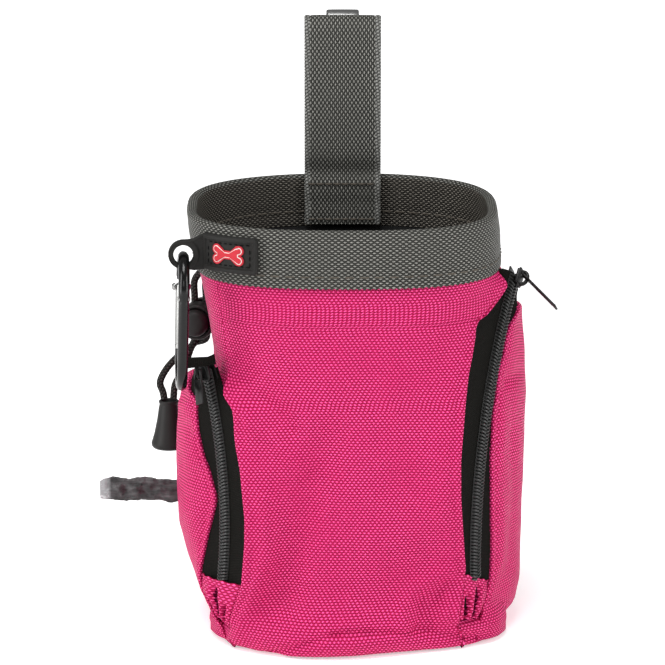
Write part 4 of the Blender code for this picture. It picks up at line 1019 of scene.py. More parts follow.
def rim_section(az, phase):
    """(offset, height) round the folded webbing, from the outer leg's lower edge."""
    top = rim_z(az)
    low = top - BINDING_DROP
    nub = 0.16 * math.cos(phase)
    out, inner, centre, half = 1.12, -2.15, -0.5, 1.63
    pts = [(0.42, low - 0.05 + nub), (0.75, low - 0.28 + nub), (1.02, low - 0.12 + nub), (out, low + 0.3)]
    for k in range(1, 12):
        t = k / 12.0
        z = low + 0.3 + (BINDING_DROP - 2.0) * t
        sewn = 0.32 * math.exp(-((z - low - 3.4) / 0.7) ** 2)
        swell = 0.25 * math.sin(math.pi * smooth(z, low + 4.0, top - 1.0))
        pts.append((out + swell - sewn, z))
    for k in range(11):
        a = math.pi * k / 10.0
        pts.append((centre + half * math.cos(a), top - 1.62 + 1.62 * math.sin(a)))
    for k in range(1, 9):
        t = k / 9.0
        z = top - 1.8 - (BINDING_DROP - 2.2) * t
        sewn = 0.3 * math.exp(-((z - low - 5.4) / 0.7) ** 2)
        pts.append((inner + sewn, z))
    pts += [(inner, low + 0.3), (inner + 0.3, low + nub), (inner + 0.7, low + 0.2)]
    pts += [(-1.42, low + 8.0), (-1.42, top - 2.3), (0.2, top - 2.3), (0.2, low + 8.5)]
    return pts


count = 1120
rows, skip = [], 0
for k in range(count):
    az = 360.0 * k / count
    section = rim_section(az, 2 * math.pi * k / 6.5)
    rows.append([rim_point(az, o, z) for o, z in section])
n_sec = len(rows[0])
cum = [0.0]
ref = rim_section(0.0, 0.0)
for a, b in zip(ref, ref[1:] + ref[:1]):
    cum.append(cum[-1] + math.dist(a, b))
uvr = []
u = 0.0
for k in range(count + 1):
    if k:
        u += (rows[k % count][8] - rows[k - 1][8]).length / MM
    uvr.append([(u, c) for c in cum])
bm = bmesh.new()
layer = bm.loops.layers.uv.new("mm")
lines = [[bm.verts.new(p) for p in row] for row in rows]
for k in range(count):
    m = (k + 1) % count
    for i in range(n_sec):
        j = (i + 1) % n_sec
        f = bm.faces.new((lines[k][i], lines[m][i], lines[m][j], lines[k][j]))
        # Faces from the inward side of the fold down the inner leg take the darker webbing copy: painted shade inside
        # the rim.
        f.material_index = 1 if i >= 24 else 0
        for loop, c in zip(f.loops, ((uvr[k][i]), (uvr[k + 1][i]), (uvr[k + 1][i + 1]), (uvr[k][i + 1]))):
            loop[layer].uv = c
bmesh.ops.recalc_face_normals(bm, faces=bm.faces)
finish_mesh("rim_webbing", bm, [GREY, GREY_PAINTED_SHADE], "pouch", "rim_binding")

bm = bmesh.new()
dark = bmesh.new()
for side, off, height in ((0, 1.12, 3.4), (1, -2.15, 5.4)):
    pts, nor = [], []
    for k in range(721):
        az = 0.5 * k
        z = rim_z(az) - BINDING_DROP + height
        o = off - 0.2 if side == 0 else off + 0.16
        pts.append(rim_point(az, o, z))
        out = Vector((math.cos(math.radians(az)), math.sin(math.radians(az)), 0.0))
        nor.append(out if side == 0 else -out)
    stitch_run(bm, pts, nor, 4.5, 3.4, 0.26, lift=0.03)
finish_mesh("rim_stitches", bm, THREAD, "pouch")
dark.free()

# -------------------------------------------------------------- belt strap
mid_y = (STRAP_FRONT_Y + STRAP_REAR_Y) / 2
half_y = (STRAP_REAR_Y - STRAP_FRONT_Y) / 2
top_c = STRAP_TOP - STRAP_T / 2 - half_y
spine = []
for k in range(141):
    z = 119.6 + (top_c - 119.6) * k / 140.0
    lean = 1.6 * math.exp(-((z - 136.6) / 3.6) ** 2) + 0.35 * math.exp(-((z - 126.5) / 2.5) ** 2) - 0.3 * math.exp(-((z - 160.0) / 9.0) ** 2)
    spine.append((STRAP_FRONT_Y + lean, z))
for k in range(1, 24):
    a = math.pi * (1.0 - k / 24.0)
    spine.append((mid_y + half_y * math.cos(a), top_c + half_y * math.sin(a)))
spine += [(STRAP_REAR_Y, top_c - (top_c - 100.0) * k / 60.0) for k in range(61)]
dense = []
for (y0, z0), (y1, z1) in zip(spine, spine[1:]):
    steps = max(1, int(math.dist((y0, z0), (y1, z1)) / 0.33))
    dense += [(y0 + (y1 - y0) * k / steps, z0 + (z1 - z0) * k / steps) for k in range(steps)]
dense.append(spine[-1])
run = [0.0]
for a, b in zip(dense, dense[1:]):
    run.append(run[-1] + math.dist(a, b))
rows, uvr = [], []
half_w = STRAP_W / 2
cross = ([-half_w, -half_w + 0.25, -half_w + 0.8, -half_w + 1.4, -half_w + 1.75, -half_w + 2.1] + [(-half_w + 2.6) + (2 * half_w - 5.2) * k / 16.0 for k in range(17)]
         + [half_w - 2.1, half_w - 1.75, half_w - 1.4, half_w - 0.8, half_w - 0.25, half_w])
thick = [0.22, 0.52, 0.66, 0.6, 0.42, 0.56] + [0.62] * 17 + [0.56, 0.42, 0.6, 0.66, 0.52, 0.22]
for i, ((y, z), s) in enumerate(zip(dense, run)):
    a, b = dense[max(0, i - 1)], dense[min(len(dense) - 1, i + 1)]
    ty, tz = (b[0] - a[0]), (b[1] - a[1])
    ln = math.hypot(ty, tz)
    ny, nz = -tz / ln, ty / ln
    scallop = 0.13 * math.sin(2 * math.pi * s / 1.9)
    row, uvx = [], []
    for side in (1, -1):
        order = list(zip(cross, thick)) if side == 1 else list(reversed(list(zip(cross, thick))))
        for x, t in order:
            edge = abs(x) > half_w - 0.9
            xx = x + (math.copysign(scallop, x) if edge else 0.0)
            bow = 0.10 * noise.noise(Vector((x / 9.0, z / 14.0, side)))
            row.append(Vector((STRAP_X + xx, y + ny * (t * side + bow), z + nz * (t * side + bow))) * MM)
            uvx.append(x + (0 if side == 1 else 40))
    rows.append(row)
    uvr.append([(ux, s) for ux in uvx] + [(uvx[0], s)])
bm, lines = grid_mesh(rows, uvr, closed=True)
bm.faces.new(list(reversed(lines[0])))
bm.faces.new(lines[-1])
for f in bm.faces:
    xs = [v.co.x / MM - STRAP_X for v in f.verts]
    if abs(sum(xs) / len(xs)) > half_w - 1.75:
        f.material_index = 1
bmesh.ops.recalc_face_normals(bm, faces=bm.faces)
strap = finish_mesh("strap_webbing", bm, [GREY_UP, SELV], "pouch", "belt_strap")

bm = bmesh.new()
for y, n, zs in ((STRAP_FRONT_Y - 0.62, Vector((0, -1, 0)), (132.7, 121.2)), (STRAP_REAR_Y + 0.62, Vector((0, 1, 0)), (129.5, 118.5, 103.0))):
    for z in zs:
        pts = [Vector((STRAP_X - half_w + 1.2 + (2 * half_w - 2.4) * k / 40.0, y, z)) * MM for k in range(41)]
        stitch_run(bm, pts, [n] * 41, 2.7, 2.1, 0.33, lift=0.05)
for x in (-half_w + 1.9, half_w - 1.9):
    pts = [Vector((STRAP_X + x, STRAP_REAR_Y + 0.62, 103.0 + (129.5 - 103.0) * k / 40.0)) * MM for k in range(41)]
    stitch_run(bm, pts, [Vector((0, 1, 0))] * 41, 2.9, 2.2, 0.33, lift=0.05)
finish_mesh("strap_stitches", bm, THREAD, "pouch")

# ------------------------------------------------------------- spring clip
leg_y = STRAP_REAR_Y + STRAP_T / 2 + GAP + CLIP_T / 2
bend = 3.9
line = [(leg_y, 150.5 + (183.2 - 150.5) * k / 20.0) for k in range(21)]
for k in range(1, 20):
    a = math.pi * (1.0 - k / 20.0)
    line.append((leg_y + bend + bend * math.cos(a), 183.2 + bend * math.sin(a)))
low_run = [(leg_y + 2 * bend, 183.2), (leg_y + 2 * bend, 165.0), (leg_y + 2 * bend - 1.6, 146.0), (leg_y + 2 * bend - 2.4, 135.0), (leg_y + 2 * bend + 0.4, 128.5)]
line += [(p.y, p.z) for p in (q / MM for q in smooth_path([(0, y, z) for y, z in low_run], 40))]
rows, uvr = [], []
total = sum(math.dist(a, b) for a, b in zip(line, line[1:]))
s = 0.0
prof = [(-1.0, 0.0), (-0.965, 0.6), (-0.9, 0.9), (-0.6, 1.0), (0.0, 1.02), (0.6, 1.0), (0.9, 0.9), (0.965, 0.6), (1.0, 0.0),
        (0.965, -0.6), (0.9, -0.9), (0.6, -1.0), (0.0, -1.0), (-0.6, -1.0), (-0.9, -0.9), (-0.965, -0.6)]
for i, (y, z) in enumerate(line):
    if i:
        s += math.dist(line[i - 1], (y, z))
    a, b = line[max(0, i - 1)], line[min(len(line) - 1, i + 1)]
    ln = max(1e-9, math.dist(a, b))
    ny, nz = -(b[1] - a[1]) / ln, (b[0] - a[0]) / ln
    ends = min(1.0, math.sqrt(max(0.0, 1 - max(0.0, 1 - s / 2.2) ** 2)) * 0.6 + 0.4, math.sqrt(max(0.0, 1 - max(0.0, 1 - (total - s) / 3.0) ** 2)) * 0.6 + 0.4)
    rows.append([Vector((CLIP_X + px * CLIP_W / 2 * ends, y + ny * pt * CLIP_T / 2, z + nz * pt * CLIP_T / 2)) * MM for px, pt in prof])
    uvr.append([(px * CLIP_W, s) for px, _ in prof] + [(-CLIP_W, s)])
bm, lines = grid_mesh(rows, uvr, closed=True)
bm.faces.new(list(reversed(lines[0])))
bm.faces.new(lines[-1])
bmesh.ops.recalc_face_normals(bm, faces=bm.faces)
finish_mesh("spring_clip", bm, STEEL, "pouch", "belt_clip")
turn_y = Matrix.Rotation(math.radians(-90.0), 4, "X")
outer = STRAP_T / 2 + GAP + CLIP_T
for word, z in (("lower", RIVET_Z[0]), ("upper", RIVET_Z[1])):
    bm = bmesh.new()
    m = Matrix.Translation(Vector((CLIP_X, STRAP_REAR_Y, z)) * MM) @ turn_y
    dome = [(0.0, outer + 0.95), (1.0, outer + 0.85), (1.8, outer + 0.55), (2.35, outer + 0.12), (2.4, outer - 0.1), (1.2, outer - 0.1), (1.2, -1.0), (2.3, -1.0), (2.1, -1.45), (0.0, -1.55)]
    turned_mesh(bm, rounded(dome, 0.2), m, 40)
    bmesh.ops.recalc_face_normals(bm, faces=bm.faces)
    finish_mesh(f"rivet_{word}", bm, STEEL, "pouch", f"clip_rivet_{word}")

# ------------------------------------------------------------- rubber patch
PATCH_LOW, PATCH_HIGH, PATCH_T = 118.3, 129.6, 1.7
eye = Vector((CARA_XY[0], CARA_XY[1], 0.0))
flat_line = []
for k in range(71):
    az = 238.9 - 20.6 * k / 70.0
    flat_line.append(at(az, wall_radius(az, 124.0) + BINDING_T + 2 * GAP + 0.35, 0.0) / MM)
start = flat_line[-1]
tab_dir = (eye - start).normalized()
tab_len = (eye - start).length
reach = tab_len + 4.6
columns = []
plate_len = sum((b - a).length for a, b in zip(flat_line, flat_line[1:]))
s = 0.0
for i, p in enumerate(flat_line):
    if i:
        s += (p - flat_line[i - 1]).length
    a, b = flat_line[max(0, i - 1)], flat_line[min(70, i + 1)]
    t = (b - a).normalized()
    nrm = Vector((t.y, -t.x, 0.0))
    if nrm.dot(p) < 0:
        nrm.negate()
    columns.append((p, nrm, s - plate_len, PATCH_LOW, PATCH_HIGH))
tab_normal = Vector((tab_dir.y, -tab_dir.x, 0.0))
if tab_normal.y > 0:
    tab_normal.negate()
for k in range(1, 61):
    s = reach * k / 60.0
    if k == 60:
        s = reach - 0.03
    x = s - tab_len
    if x > -3.2:
        span = math.sqrt(max(0.0009, 4.6 ** 2 - x * x)) if x > 0 else 4.6 + 0.35 * (x / 3.2) ** 2
        low, high = HOLE_Z - span, HOLE_Z + span
    else:
        mix = (s / max(0.1, tab_len - 3.2)) ** 1.15
        low = PATCH_LOW + mix * (HOLE_Z - 4.95 - PATCH_LOW)
        high = PATCH_HIGH + mix * (HOLE_Z + 4.95 - PATCH_HIGH)
    columns.append((start + tab_dir * s, tab_normal, s, low, high))


def patch_height(s, v, low, high):
    """Thickness of the moulding in mm at a place on it."""
    edge = min(v - low, high - v)
    if s < 0:
        corner = min(edge, s + plate_len)
        round_off = min(1.0, max(0.12, corner / 0.35)) ** 0.5
        inner = min(v - low, high - v, s + plate_len, -s)
        recess = smooth(inner, 1.45, 1.75)
        groove = math.exp(-((s + 0.25) / 0.28) ** 2)
        return (1.75 - 0.75 * recess) * round_off - 0.55 * groove
    d = math.hypot(s - tab_len, v - HOLE_Z)
    ring = 0.5 * smooth(d, 5.0, 4.6) * smooth(d, 2.9, 3.2)
    rim = 0.18 * smooth(edge, 0.9, 0.5)
    return (1.35 + ring + rim) * min(1.0, max(0.1, edge / 0.3)) ** 0.5


rows_f, rows_b, uvr = [], [], []
levels = 40
for j in range(levels + 1):
    f = j / levels
    f = 0.5 - 0.5 * math.cos(math.pi * f) if False else f
    rf_, rb_, uu = [], [], []
    for p, nrm, s, low, high in columns:
        soft = 0.0
        if s < -plate_len + 1.3:
            k2 = (1.3 - (s + plate_len)) / 1.3
            soft = 1.3 * (1 - math.sqrt(max(0.0, 1 - k2 * k2)))
        v = (low + soft) + f * ((high - soft) - (low + soft))
        h = patch_height(s, v, low + soft, high - soft)
        rf_.append(Vector((p.x + nrm.x * h, p.y + nrm.y * h, v)) * MM)
        rb_.append(Vector((p.x, p.y, v)) * MM)
        uu.append((s, v))
    rows_f.append(rf_)
    rows_b.append(rb_)
    uvr.append(uu)
bm, front = grid_mesh(rows_f, uvr)
bm, back = grid_mesh(rows_b, uvr, bm=bm, flip=True)
n_c = len(columns)
ring_f = front[0] + [r[-1] for r in front[1:]] + list(reversed(front[-1]))[1:] + [r[0] for r in reversed(front)][1:-1]
ring_b = back[0] + [r[-1] for r in back[1:]] + list(reversed(back[-1]))[1:] + [r[0] for r in reversed(back)][1:-1]
for i in range(len(ring_f)):
    j = (i + 1) % len(ring_f)
    try:
        bm.faces.new((ring_f[i], ring_b[i], ring_b[j], ring_f[j]))
    except ValueError:
        pass
bmesh.ops.recalc_face_normals(bm, faces=bm.faces)
patch = finish_mesh("eyelet_patch_rubber", bm, RUBBER, "pouch", "eyelet_patch", sharp=60.0)
side = Vector((0, 0, 1)).cross(tab_normal)
eye_m = frame_at((eye.x, eye.y, HOLE_Z), side, tab_normal.cross(side), tab_normal)
bored(patch, [cutter(lambda b: turned_mesh(b, [(0.0, -4.0), (HOLE_R, -4.0), (HOLE_R, 4.0), (0.0, 4.0)], eye_m, 56))])
for poly in patch.data.polygons:
    poly.use_smooth = True
patch.data.set_sharp_from_angle(angle=math.radians(50.0))

bm = bmesh.new()


def on_plate(s, v, lift):
    k = min(range(71), key=lambda i: abs(columns[i][2] - s))
    p, nrm = columns[k][0], columns[k][1]
    return Vector((p.x + nrm.x * lift, p.y + nrm.y * lift, v)) * MM, Vector((nrm.x, nrm.y, 0))


inset = 2.35
for v in (PATCH_LOW + inset, PATCH_HIGH - inset):
    got = [on_plate(-plate_len + inset + (plate_len - 2 * inset) * k / 40.0, v, 0.95) for k in range(41)]
    stitch_run(bm, [g[0] for g in got], [g[1] for g in got], 1.9, 1.45, 0.22, lift=0.05)
for s0 in (-plate_len + inset, -inset):
    got = [on_plate(s0, PATCH_LOW + inset + (PATCH_HIGH - PATCH_LOW - 2 * inset) * k / 20.0, 0.95) for k in range(21)]
    stitch_run(bm, [g[0] for g in got], [g[1] for g in got], 1.9, 1.45, 0.22, lift=0.05)
finish_mesh("patch_stitches", bm, BLACK_THREAD, "pouch")


def bone_outline(shrink, n=96):
    lobes = [(4.0 * e, 1.6 * l * e) for e in (1, -1) for l in (1, -1)]
    pts = []
    for k in range(n):
        a = 2 * math.pi * k / n
        c, s = math.cos(a), math.sin(a)
        best = 0.0
        for cx, cy in lobes:
            b = c * cx + s * cy
            d = b * b - (cx * cx + cy * cy - (1.75 - shrink) ** 2)
            if d > 0:
                best = max(best, b + math.sqrt(d))
        hx = (4.4 - shrink) / abs(c) if abs(c) > 1e-6 else 1e9
        hy = (1.4 - shrink) / abs(s) if abs(s) > 1e-6 else 1e9
        pts.append((max(best, min(hx, hy)) * c, max(best, min(hx, hy)) * s))
    return pts


def emblem(bm, shrink, base_lift, top_lift, index):
    mid_s, mid_v = -plate_len / 2 - 0.1, (PATCH_LOW + PATCH_HIGH) / 2
    scale = 0.93
    pts = bone_outline(shrink)
    rings = []
    for lift, grow in ((base_lift, 0.0), (top_lift - 0.12, 0.0), (top_lift, 0.14)):
        ring = []
        for (x, y), (x2, y2) in zip(pts, bone_outline(shrink + grow)):
            ring.append(bm.verts.new(on_smooth(mid_s - x2 * scale, mid_v + y2 * scale, lift)))
        rings.append(ring)
    for a, b in zip(rings, rings[1:]):
        for i in range(len(a)):
            j = (i + 1) % len(a)
            f = bm.faces.new((a[i], a[j], b[j], b[i]))
            f.material_index = index
    centre_v = bm.verts.new(on_smooth(mid_s, mid_v, top_lift))
    top = rings[-1]
    for i in range(len(top)):
        f = bm.faces.new((top[i], top[(i + 1) % len(top)], centre_v))
        f.material_index = index
    f = bm.faces.new(list(reversed(rings[0])))
    f.material_index = index


def on_smooth(s, v, lift):
    """A place on the plate, between its columns."""
    s = max(columns[0][2], min(columns[70][2], s))
    for a, b in zip(columns[:70], columns[1:71]):
        if s <= b[2]:
            t = (s - a[2]) / (b[2] - a[2])
            p, nrm = a[0].lerp(b[0], t), a[1].lerp(b[1], t)
            return Vector((p.x + nrm.x * lift, p.y + nrm.y * lift, v)) * MM
    return Vector((columns[70][0].x, columns[70][0].y, v)) * MM


bm = bmesh.new()
emblem(bm, 0.0, 0.9, 1.55, 0)
emblem(bm, 0.5, 1.2, 1.62, 1)
emblem(bm, 0.72, 1.2, 1.70, 0)
bmesh.ops.recalc_face_normals(bm, faces=bm.faces)
finish_mesh("patch_bone", bm, [RED, WHITE], "pouch", "patch_emblem")

# ---------------------------------------------------------------- carabiner
far = Vector((-math.sin(math.radians(CARA_TURN)), math.cos(math.radians(CARA_TURN)), 0.0))
up = Matrix.Rotation(math.radians(CARA_LEAN), 3, far) @ Vector((0, 0, 1))
flat = up.cross(far)
CARA_M = frame_at((CARA_XY[0], CARA_XY[1], CARA_TOP), far, flat, up)


def low_(z):
    return z - CARA_TOP


bow = CARA_HALF
top_cz, bottom_c = low_(CARA_TOP - bow), low_(CARA_LOW + 1.6 + bow)
path = []
for k in range(49):
    a = math.radians(6.0 + 174.0 * k / 48.0)
    path.append((bow * math.cos(a), top_cz + bow * math.sin(a)))
for k in range(1, 24):
    path.append((-bow, top_cz + (bottom_c - top_cz) * k / 24.0))
for k in range(49):
    a = math.radians(180.0 + 180.0 * k / 48.0)
    path.append((bow * math.cos(a), bottom_c + bow * math.sin(a)))
path.append((bow, low_(GATE_LOW_Z - 0.6)))
pts3 = [CARA_M @ (Vector((x, 0.0, z)) * MM) for x, z in path]


def rod_swell(f):
    x, z = path[min(len(path) - 1, int(round(f * (len(path) - 1))))]
    r = ROD_R
    if x < 0:        # slim shoulder where the two halves of the casting meet
        r += 0.10 * smooth(z, low_(110.6), low_(111.2)) - 0.12 * math.exp(-((z - low_(110.9)) / 0.25) ** 2)
    if f < 0.012:
        r *= 0.9
    return r


bm = bmesh.new()
sweep_tube(bm, pts3, rod_swell, 32)
slab(bm, (2.3, 1.15, 5.6), CARA_M @ Matrix.Translation(Vector((bow, 0, low_(GATE_PIN_Z + 1.5))) * MM), 0.3)
finish_mesh("carabiner_bow", bm, LACQUER, "carabiner", "carabiner_body", sharp=50)

lay_x = Matrix.Rotation(math.radians(-90.0), 4, "X")
pin_m = CARA_M @ Matrix.Translation(Vector((bow, 0, low_(GATE_PIN_Z))) * MM) @ lay_x
gate_top, gate_low = low_(GATE_PIN_Z + 1.2), low_(GATE_LOW_Z)
bm = bmesh.new()
gm = CARA_M @ Matrix.Translation(Vector((bow, 0, 0)) * MM)
turned_mesh(bm, rounded([(0.0, gate_low + 0.02), (1.45, gate_low + 0.02), (GATE_R, gate_low + 0.35), (GATE_R, gate_low + 1.4), (GATE_R - 0.12, gate_low + 1.55), (GATE_R - 0.12, gate_low + 1.75), (GATE_R, gate_low + 1.9),
                         (GATE_R, gate_top - 0.5), (1.2, gate_top), (0.0, gate_top)], 0.15), gm, 40)
bmesh.ops.recalc_face_normals(bm, faces=bm.faces)
gate = finish_mesh("gate_rod", bm, STEEL, "gate", "carabiner_gate")
bored(gate, [cutter(lambda b: slab(b, (6.0, 1.8, 5.4), CARA_M @ Matrix.Translation(Vector((bow, 0, gate_top - 1.6)) * MM), 0.02))])
gate.data.set_sharp_from_angle(angle=math.radians(40.0))
turned("gate_rivet", [
    (0.0, 2.95), (0.6, 2.9), (1.0, 2.6), (1.15, 2.2), (1.15, 1.9), (0.58, 1.85), (0.58, -1.85), (1.15, -1.9), (1.15, -2.2), (1.0, -2.6), (0.6, -2.9), (0.0, -2.95),
], pin_m, STEEL, "gate", "gate_pin", steps=32, r=0.15)
# the hook's own rivet and shoulder, seen on the near leg
bm = bmesh.new()
for s in (-1, 1):
    m2 = CARA_M @ Matrix.Translation(Vector((-bow, 0, low_(GATE_PIN_Z))) * MM) @ lay_x
    turned_mesh(bm, [(0.0, s * 1.95), (0.5, s * 1.9), (0.85, s * 1.68), (0.95, s * 1.3), (0.0, s * 1.2)], m2, 24)
bmesh.ops.recalc_face_normals(bm, faces=bm.faces)
finish_mesh("carabiner_studs", bm, STEEL, "carabiner")

# ------------------------------------------------- cord lock, grommets, roll
hl = LOCK_LEN / 2
lock = turned("lock_barrel", [
    (4.75, hl - 0.15), (5.1, hl), (5.5, hl - 0.15), (5.8, hl - 0.6), (LOCK_R, hl - 1.6), (LOCK_R, 1.0), (LOCK_R - 0.15, 0.85), (LOCK_R - 0.15, 0.55), (LOCK_R, 0.4), (LOCK_R, -hl + 2.0),
    (5.75, -hl + 1.1), (5.3, -hl + 0.5), (4.4, -hl), (0.0, -hl), (0.0, -hl + 1.5), (4.75, -hl + 1.5)], lock_m, PLASTIC, "cord_lock", "cord_lock_body", closed=True)
slot_m = Matrix.Translation(Vector(LOCK) * MM) @ Matrix.Rotation(math.radians(LOCK_TURN), 4, "Z")
bored(lock, [cutter(lambda b: slab(b, (7.1, 3.5, 20.0), slot_m, 0.02))])
lock.data.set_sharp_from_angle(angle=math.radians(40.0))
button = turned("lock_plunger", [
    (0.0, hl + 3.45), (1.6, hl + 3.35), (2.9, hl + 3.05), (3.8, hl + 2.45), (4.2, hl + 1.7), (4.35, hl + 0.9), (4.35, -hl + 4.4), (2.3, -hl + 4.4), (2.3, -hl + 5.0), (0.0, -hl + 5.0)],
    lock_m, PLASTIC, "lock_button", "cord_lock_button")
bored(button, [cutter(lambda b: slab(b, (7.1, 5.9, 20.0), slot_m @ Matrix.Translation(Vector((0, -1.0, 0)) * MM), 0.02))])
button.data.set_sharp_from_angle(angle=math.radians(40.0))
turned("string_grommet", [
    (4.8, 1.5), (5.15, 1.2), (5.2, 0.75), (4.1, 0.7), (3.9, -1.45), (4.7, -1.55), (4.7, -2.0), (3.5, -2.0), (3.35, -1.55), (3.35, 0.9), (3.6, 1.4), (4.2, 1.62)],
    gro_m, SATIN, "pouch", "drawstring_grommet", closed=True, r=0.2)

rx, ry = ROLL_XY
mid_z, roll_h = (ROLL_Z[0] + ROLL_Z[1]) / 2, ROLL_Z[1] - ROLL_Z[0]
bm = bmesh.new()
rows, uvr = [], []
spiral = [(ROLL_R - 0.02 * (k % 7) + 0.12 * noise.noise(Vector((k * 0.3, 0, 0))), 0) for k in range(96)]
for z in [ROLL_Z[0] + roll_h * j / 30.0 for j in range(31)]:
    row = []
    for k in range(96):
        a = 2 * math.pi * k / 96
        r = ROLL_R - 0.15 + 0.14 * noise.noise(Vector((math.cos(a) * 3, math.sin(a) * 3, z / 9.0))) - (0.3 if z in (ROLL_Z[0], ROLL_Z[1]) else 0)
        row.append(Vector((rx + r * math.cos(a), ry + r * math.sin(a), z)) * MM)
    rows.append(row)
inner_rows = [[Vector((rx + (CORE_R + 0.3) * math.cos(2 * math.pi * k / 96), ry + (CORE_R + 0.3) * math.sin(2 * math.pi * k / 96), z)) * MM for k in range(96)] for z in (ROLL_Z[1], ROLL_Z[0])]
rows = rows + inner_rows + [rows[0]]
layer_rows = rows[:-1]
bm, lines = grid_mesh(layer_rows, arc_uv(layer_rows, True), closed=True)
for i in range(96):
    j = (i + 1) % 96
    bm.faces.new((lines[-1][i], lines[-1][j], lines[0][j], lines[0][i]))
bmesh.ops.recalc_face_normals(bm, faces=bm.faces)
finish_mesh("bag_roll", bm, FILM, "waste_roll", "waste_bag_roll")
turned("bag_core", [(CORE_R, roll_h / 2), (CORE_R, -roll_h / 2), (CORE_R - 0.9, -roll_h / 2), (CORE_R - 0.9, roll_h / 2)],
       Matrix.Translation(Vector((rx, ry, mid_z)) * MM), CARD, "waste_roll", "waste_bag_core", closed=True, r=0.15)

pocket_r = radius_of(math.degrees(math.atan2(TAIL_Y, -51.0)), 53.3, 40.0, 2.0)
exit_x = -math.sqrt(max(0.0, pocket_r ** 2 - TAIL_Y ** 2))
exit_out = Vector((exit_x / 53.3 ** 2, TAIL_Y / 40.0 ** 2, 0.0)).normalized()
g_m = frame_at((exit_x, TAIL_Y, TAIL_Z), Vector((0, 0, 1)).cross(exit_out), Vector((0, 0, 1)), exit_out)
bm = bmesh.new()


def oval(w, h, r, n=40):
    pts = []
    for k in range(n):
        a = 2 * math.pi * (k + 0.5) / n
        c, s = math.cos(a), math.sin(a)
        pts.append((math.copysign(abs(c) ** 0.45, c) * w / 2, math.copysign(abs(s) ** 0.45, s) * h / 2))
    return pts


rings = []
for w, h, z in ((2.7, 9.5, 1.4), (3.6, 10.4, 1.65), (6.2, 12.6, 1.5), (7.4, 13.5, 1.0), (7.4, 13.5, 0.5), (4.8, 10.9, 0.45), (4.7, 10.8, -1.8), (2.7, 9.5, -1.85)):
    rings.append([bm.verts.new(g_m @ (Vector((x, y, z)) * MM)) for x, y in oval(w, h, 1)])
for a, b in zip(rings, rings[1:] + rings[:1]):
    for i in range(40):
        j = (i + 1) % 40
        bm.faces.new((a[i], a[j], b[j], b[i]))
bmesh.ops.recalc_face_normals(bm, faces=bm.faces)
finish_mesh("roll_grommet", bm, SATIN, "pouch", "waste_bag_grommet")

# gathered film: a crumpled strip with a loose corner
rows, uvr = [], []
nx, nk = 110, 56
for i in range(nx + 1):
    x = -38.0 + (-79.2 + 38.0) * i / nx
    half_h = table(((0.0, 3.2), (10.0, 3.6), (16.0, 3.6), (19.0, 3.9), (22.0, 3.5), (27.0, 3.9), (32.0, 3.6), (37.0, 3.9), (40.0, 3.5), (41.2, 2.9)), -38.0 - x)
    half_t = table(((0.0, 0.45), (14.0, 0.55), (18.0, 0.9), (22.0, 1.2), (28.0, 1.3), (34.0, 1.2), (38.0, 0.7), (40.0, 0.35), (41.2, 0.12)), -38.0 - x)
    dz = table(((0.0, 0.6), (14.0, 0.4), (18.0, -0.1), (22.0, 0.4), (27.0, 0.9), (32.0, 0.4), (37.0, 1.0), (41.2, 0.5)), -38.0 - x)
    loose = smooth(-x, 54.0, 60.0)
    row = []
    for k in range(nk):
        a = 2 * math.pi * k / nk
        crease = 0.34 * noise.noise(Vector((x / 2.3, math.sin(a) * 1.4, math.cos(a) * 1.4))) + 0.22 * noise.noise(Vector((x / 0.9, math.sin(a) * 3.0, 4.0)))
        t = half_t * math.cos(a) * (1.0 + 0.7 * loose * noise.noise(Vector((x / 3.0, a * 2, 1.0)))) + loose * crease
        h = half_h * math.sin(a) * (1.0 + 0.06 * loose * noise.noise(Vector((x / 1.7, a, 7.0)))) + loose * 0.4 * crease
        row.append(Vector((x, TAIL_Y + t, TAIL_Z + dz + h)) * MM)
    rows.append(row)
bm, lines = grid_mesh(rows, arc_uv(rows, True), closed=True)
bm.faces.new(list(reversed(lines[0])))
bm.faces.new(lines[-1])
base_p = Vector((-71.0, TAIL_Y - 0.4, TAIL_Z + 3.2)) * MM
bmesh.ops.recalc_face_normals(bm, faces=bm.faces)
finish_mesh("bag_tail", bm, FILM, "waste_tail", "waste_bag_tail", sharp=30.0)

# ------------------------------------------------------------------ pockets
SIDE_BULGE = ((0.0, 2.4), (12.0, 2.3), (24.0, 1.4), (45.0, 0.9), (70.0, 0.3), (80.0, 0.0))


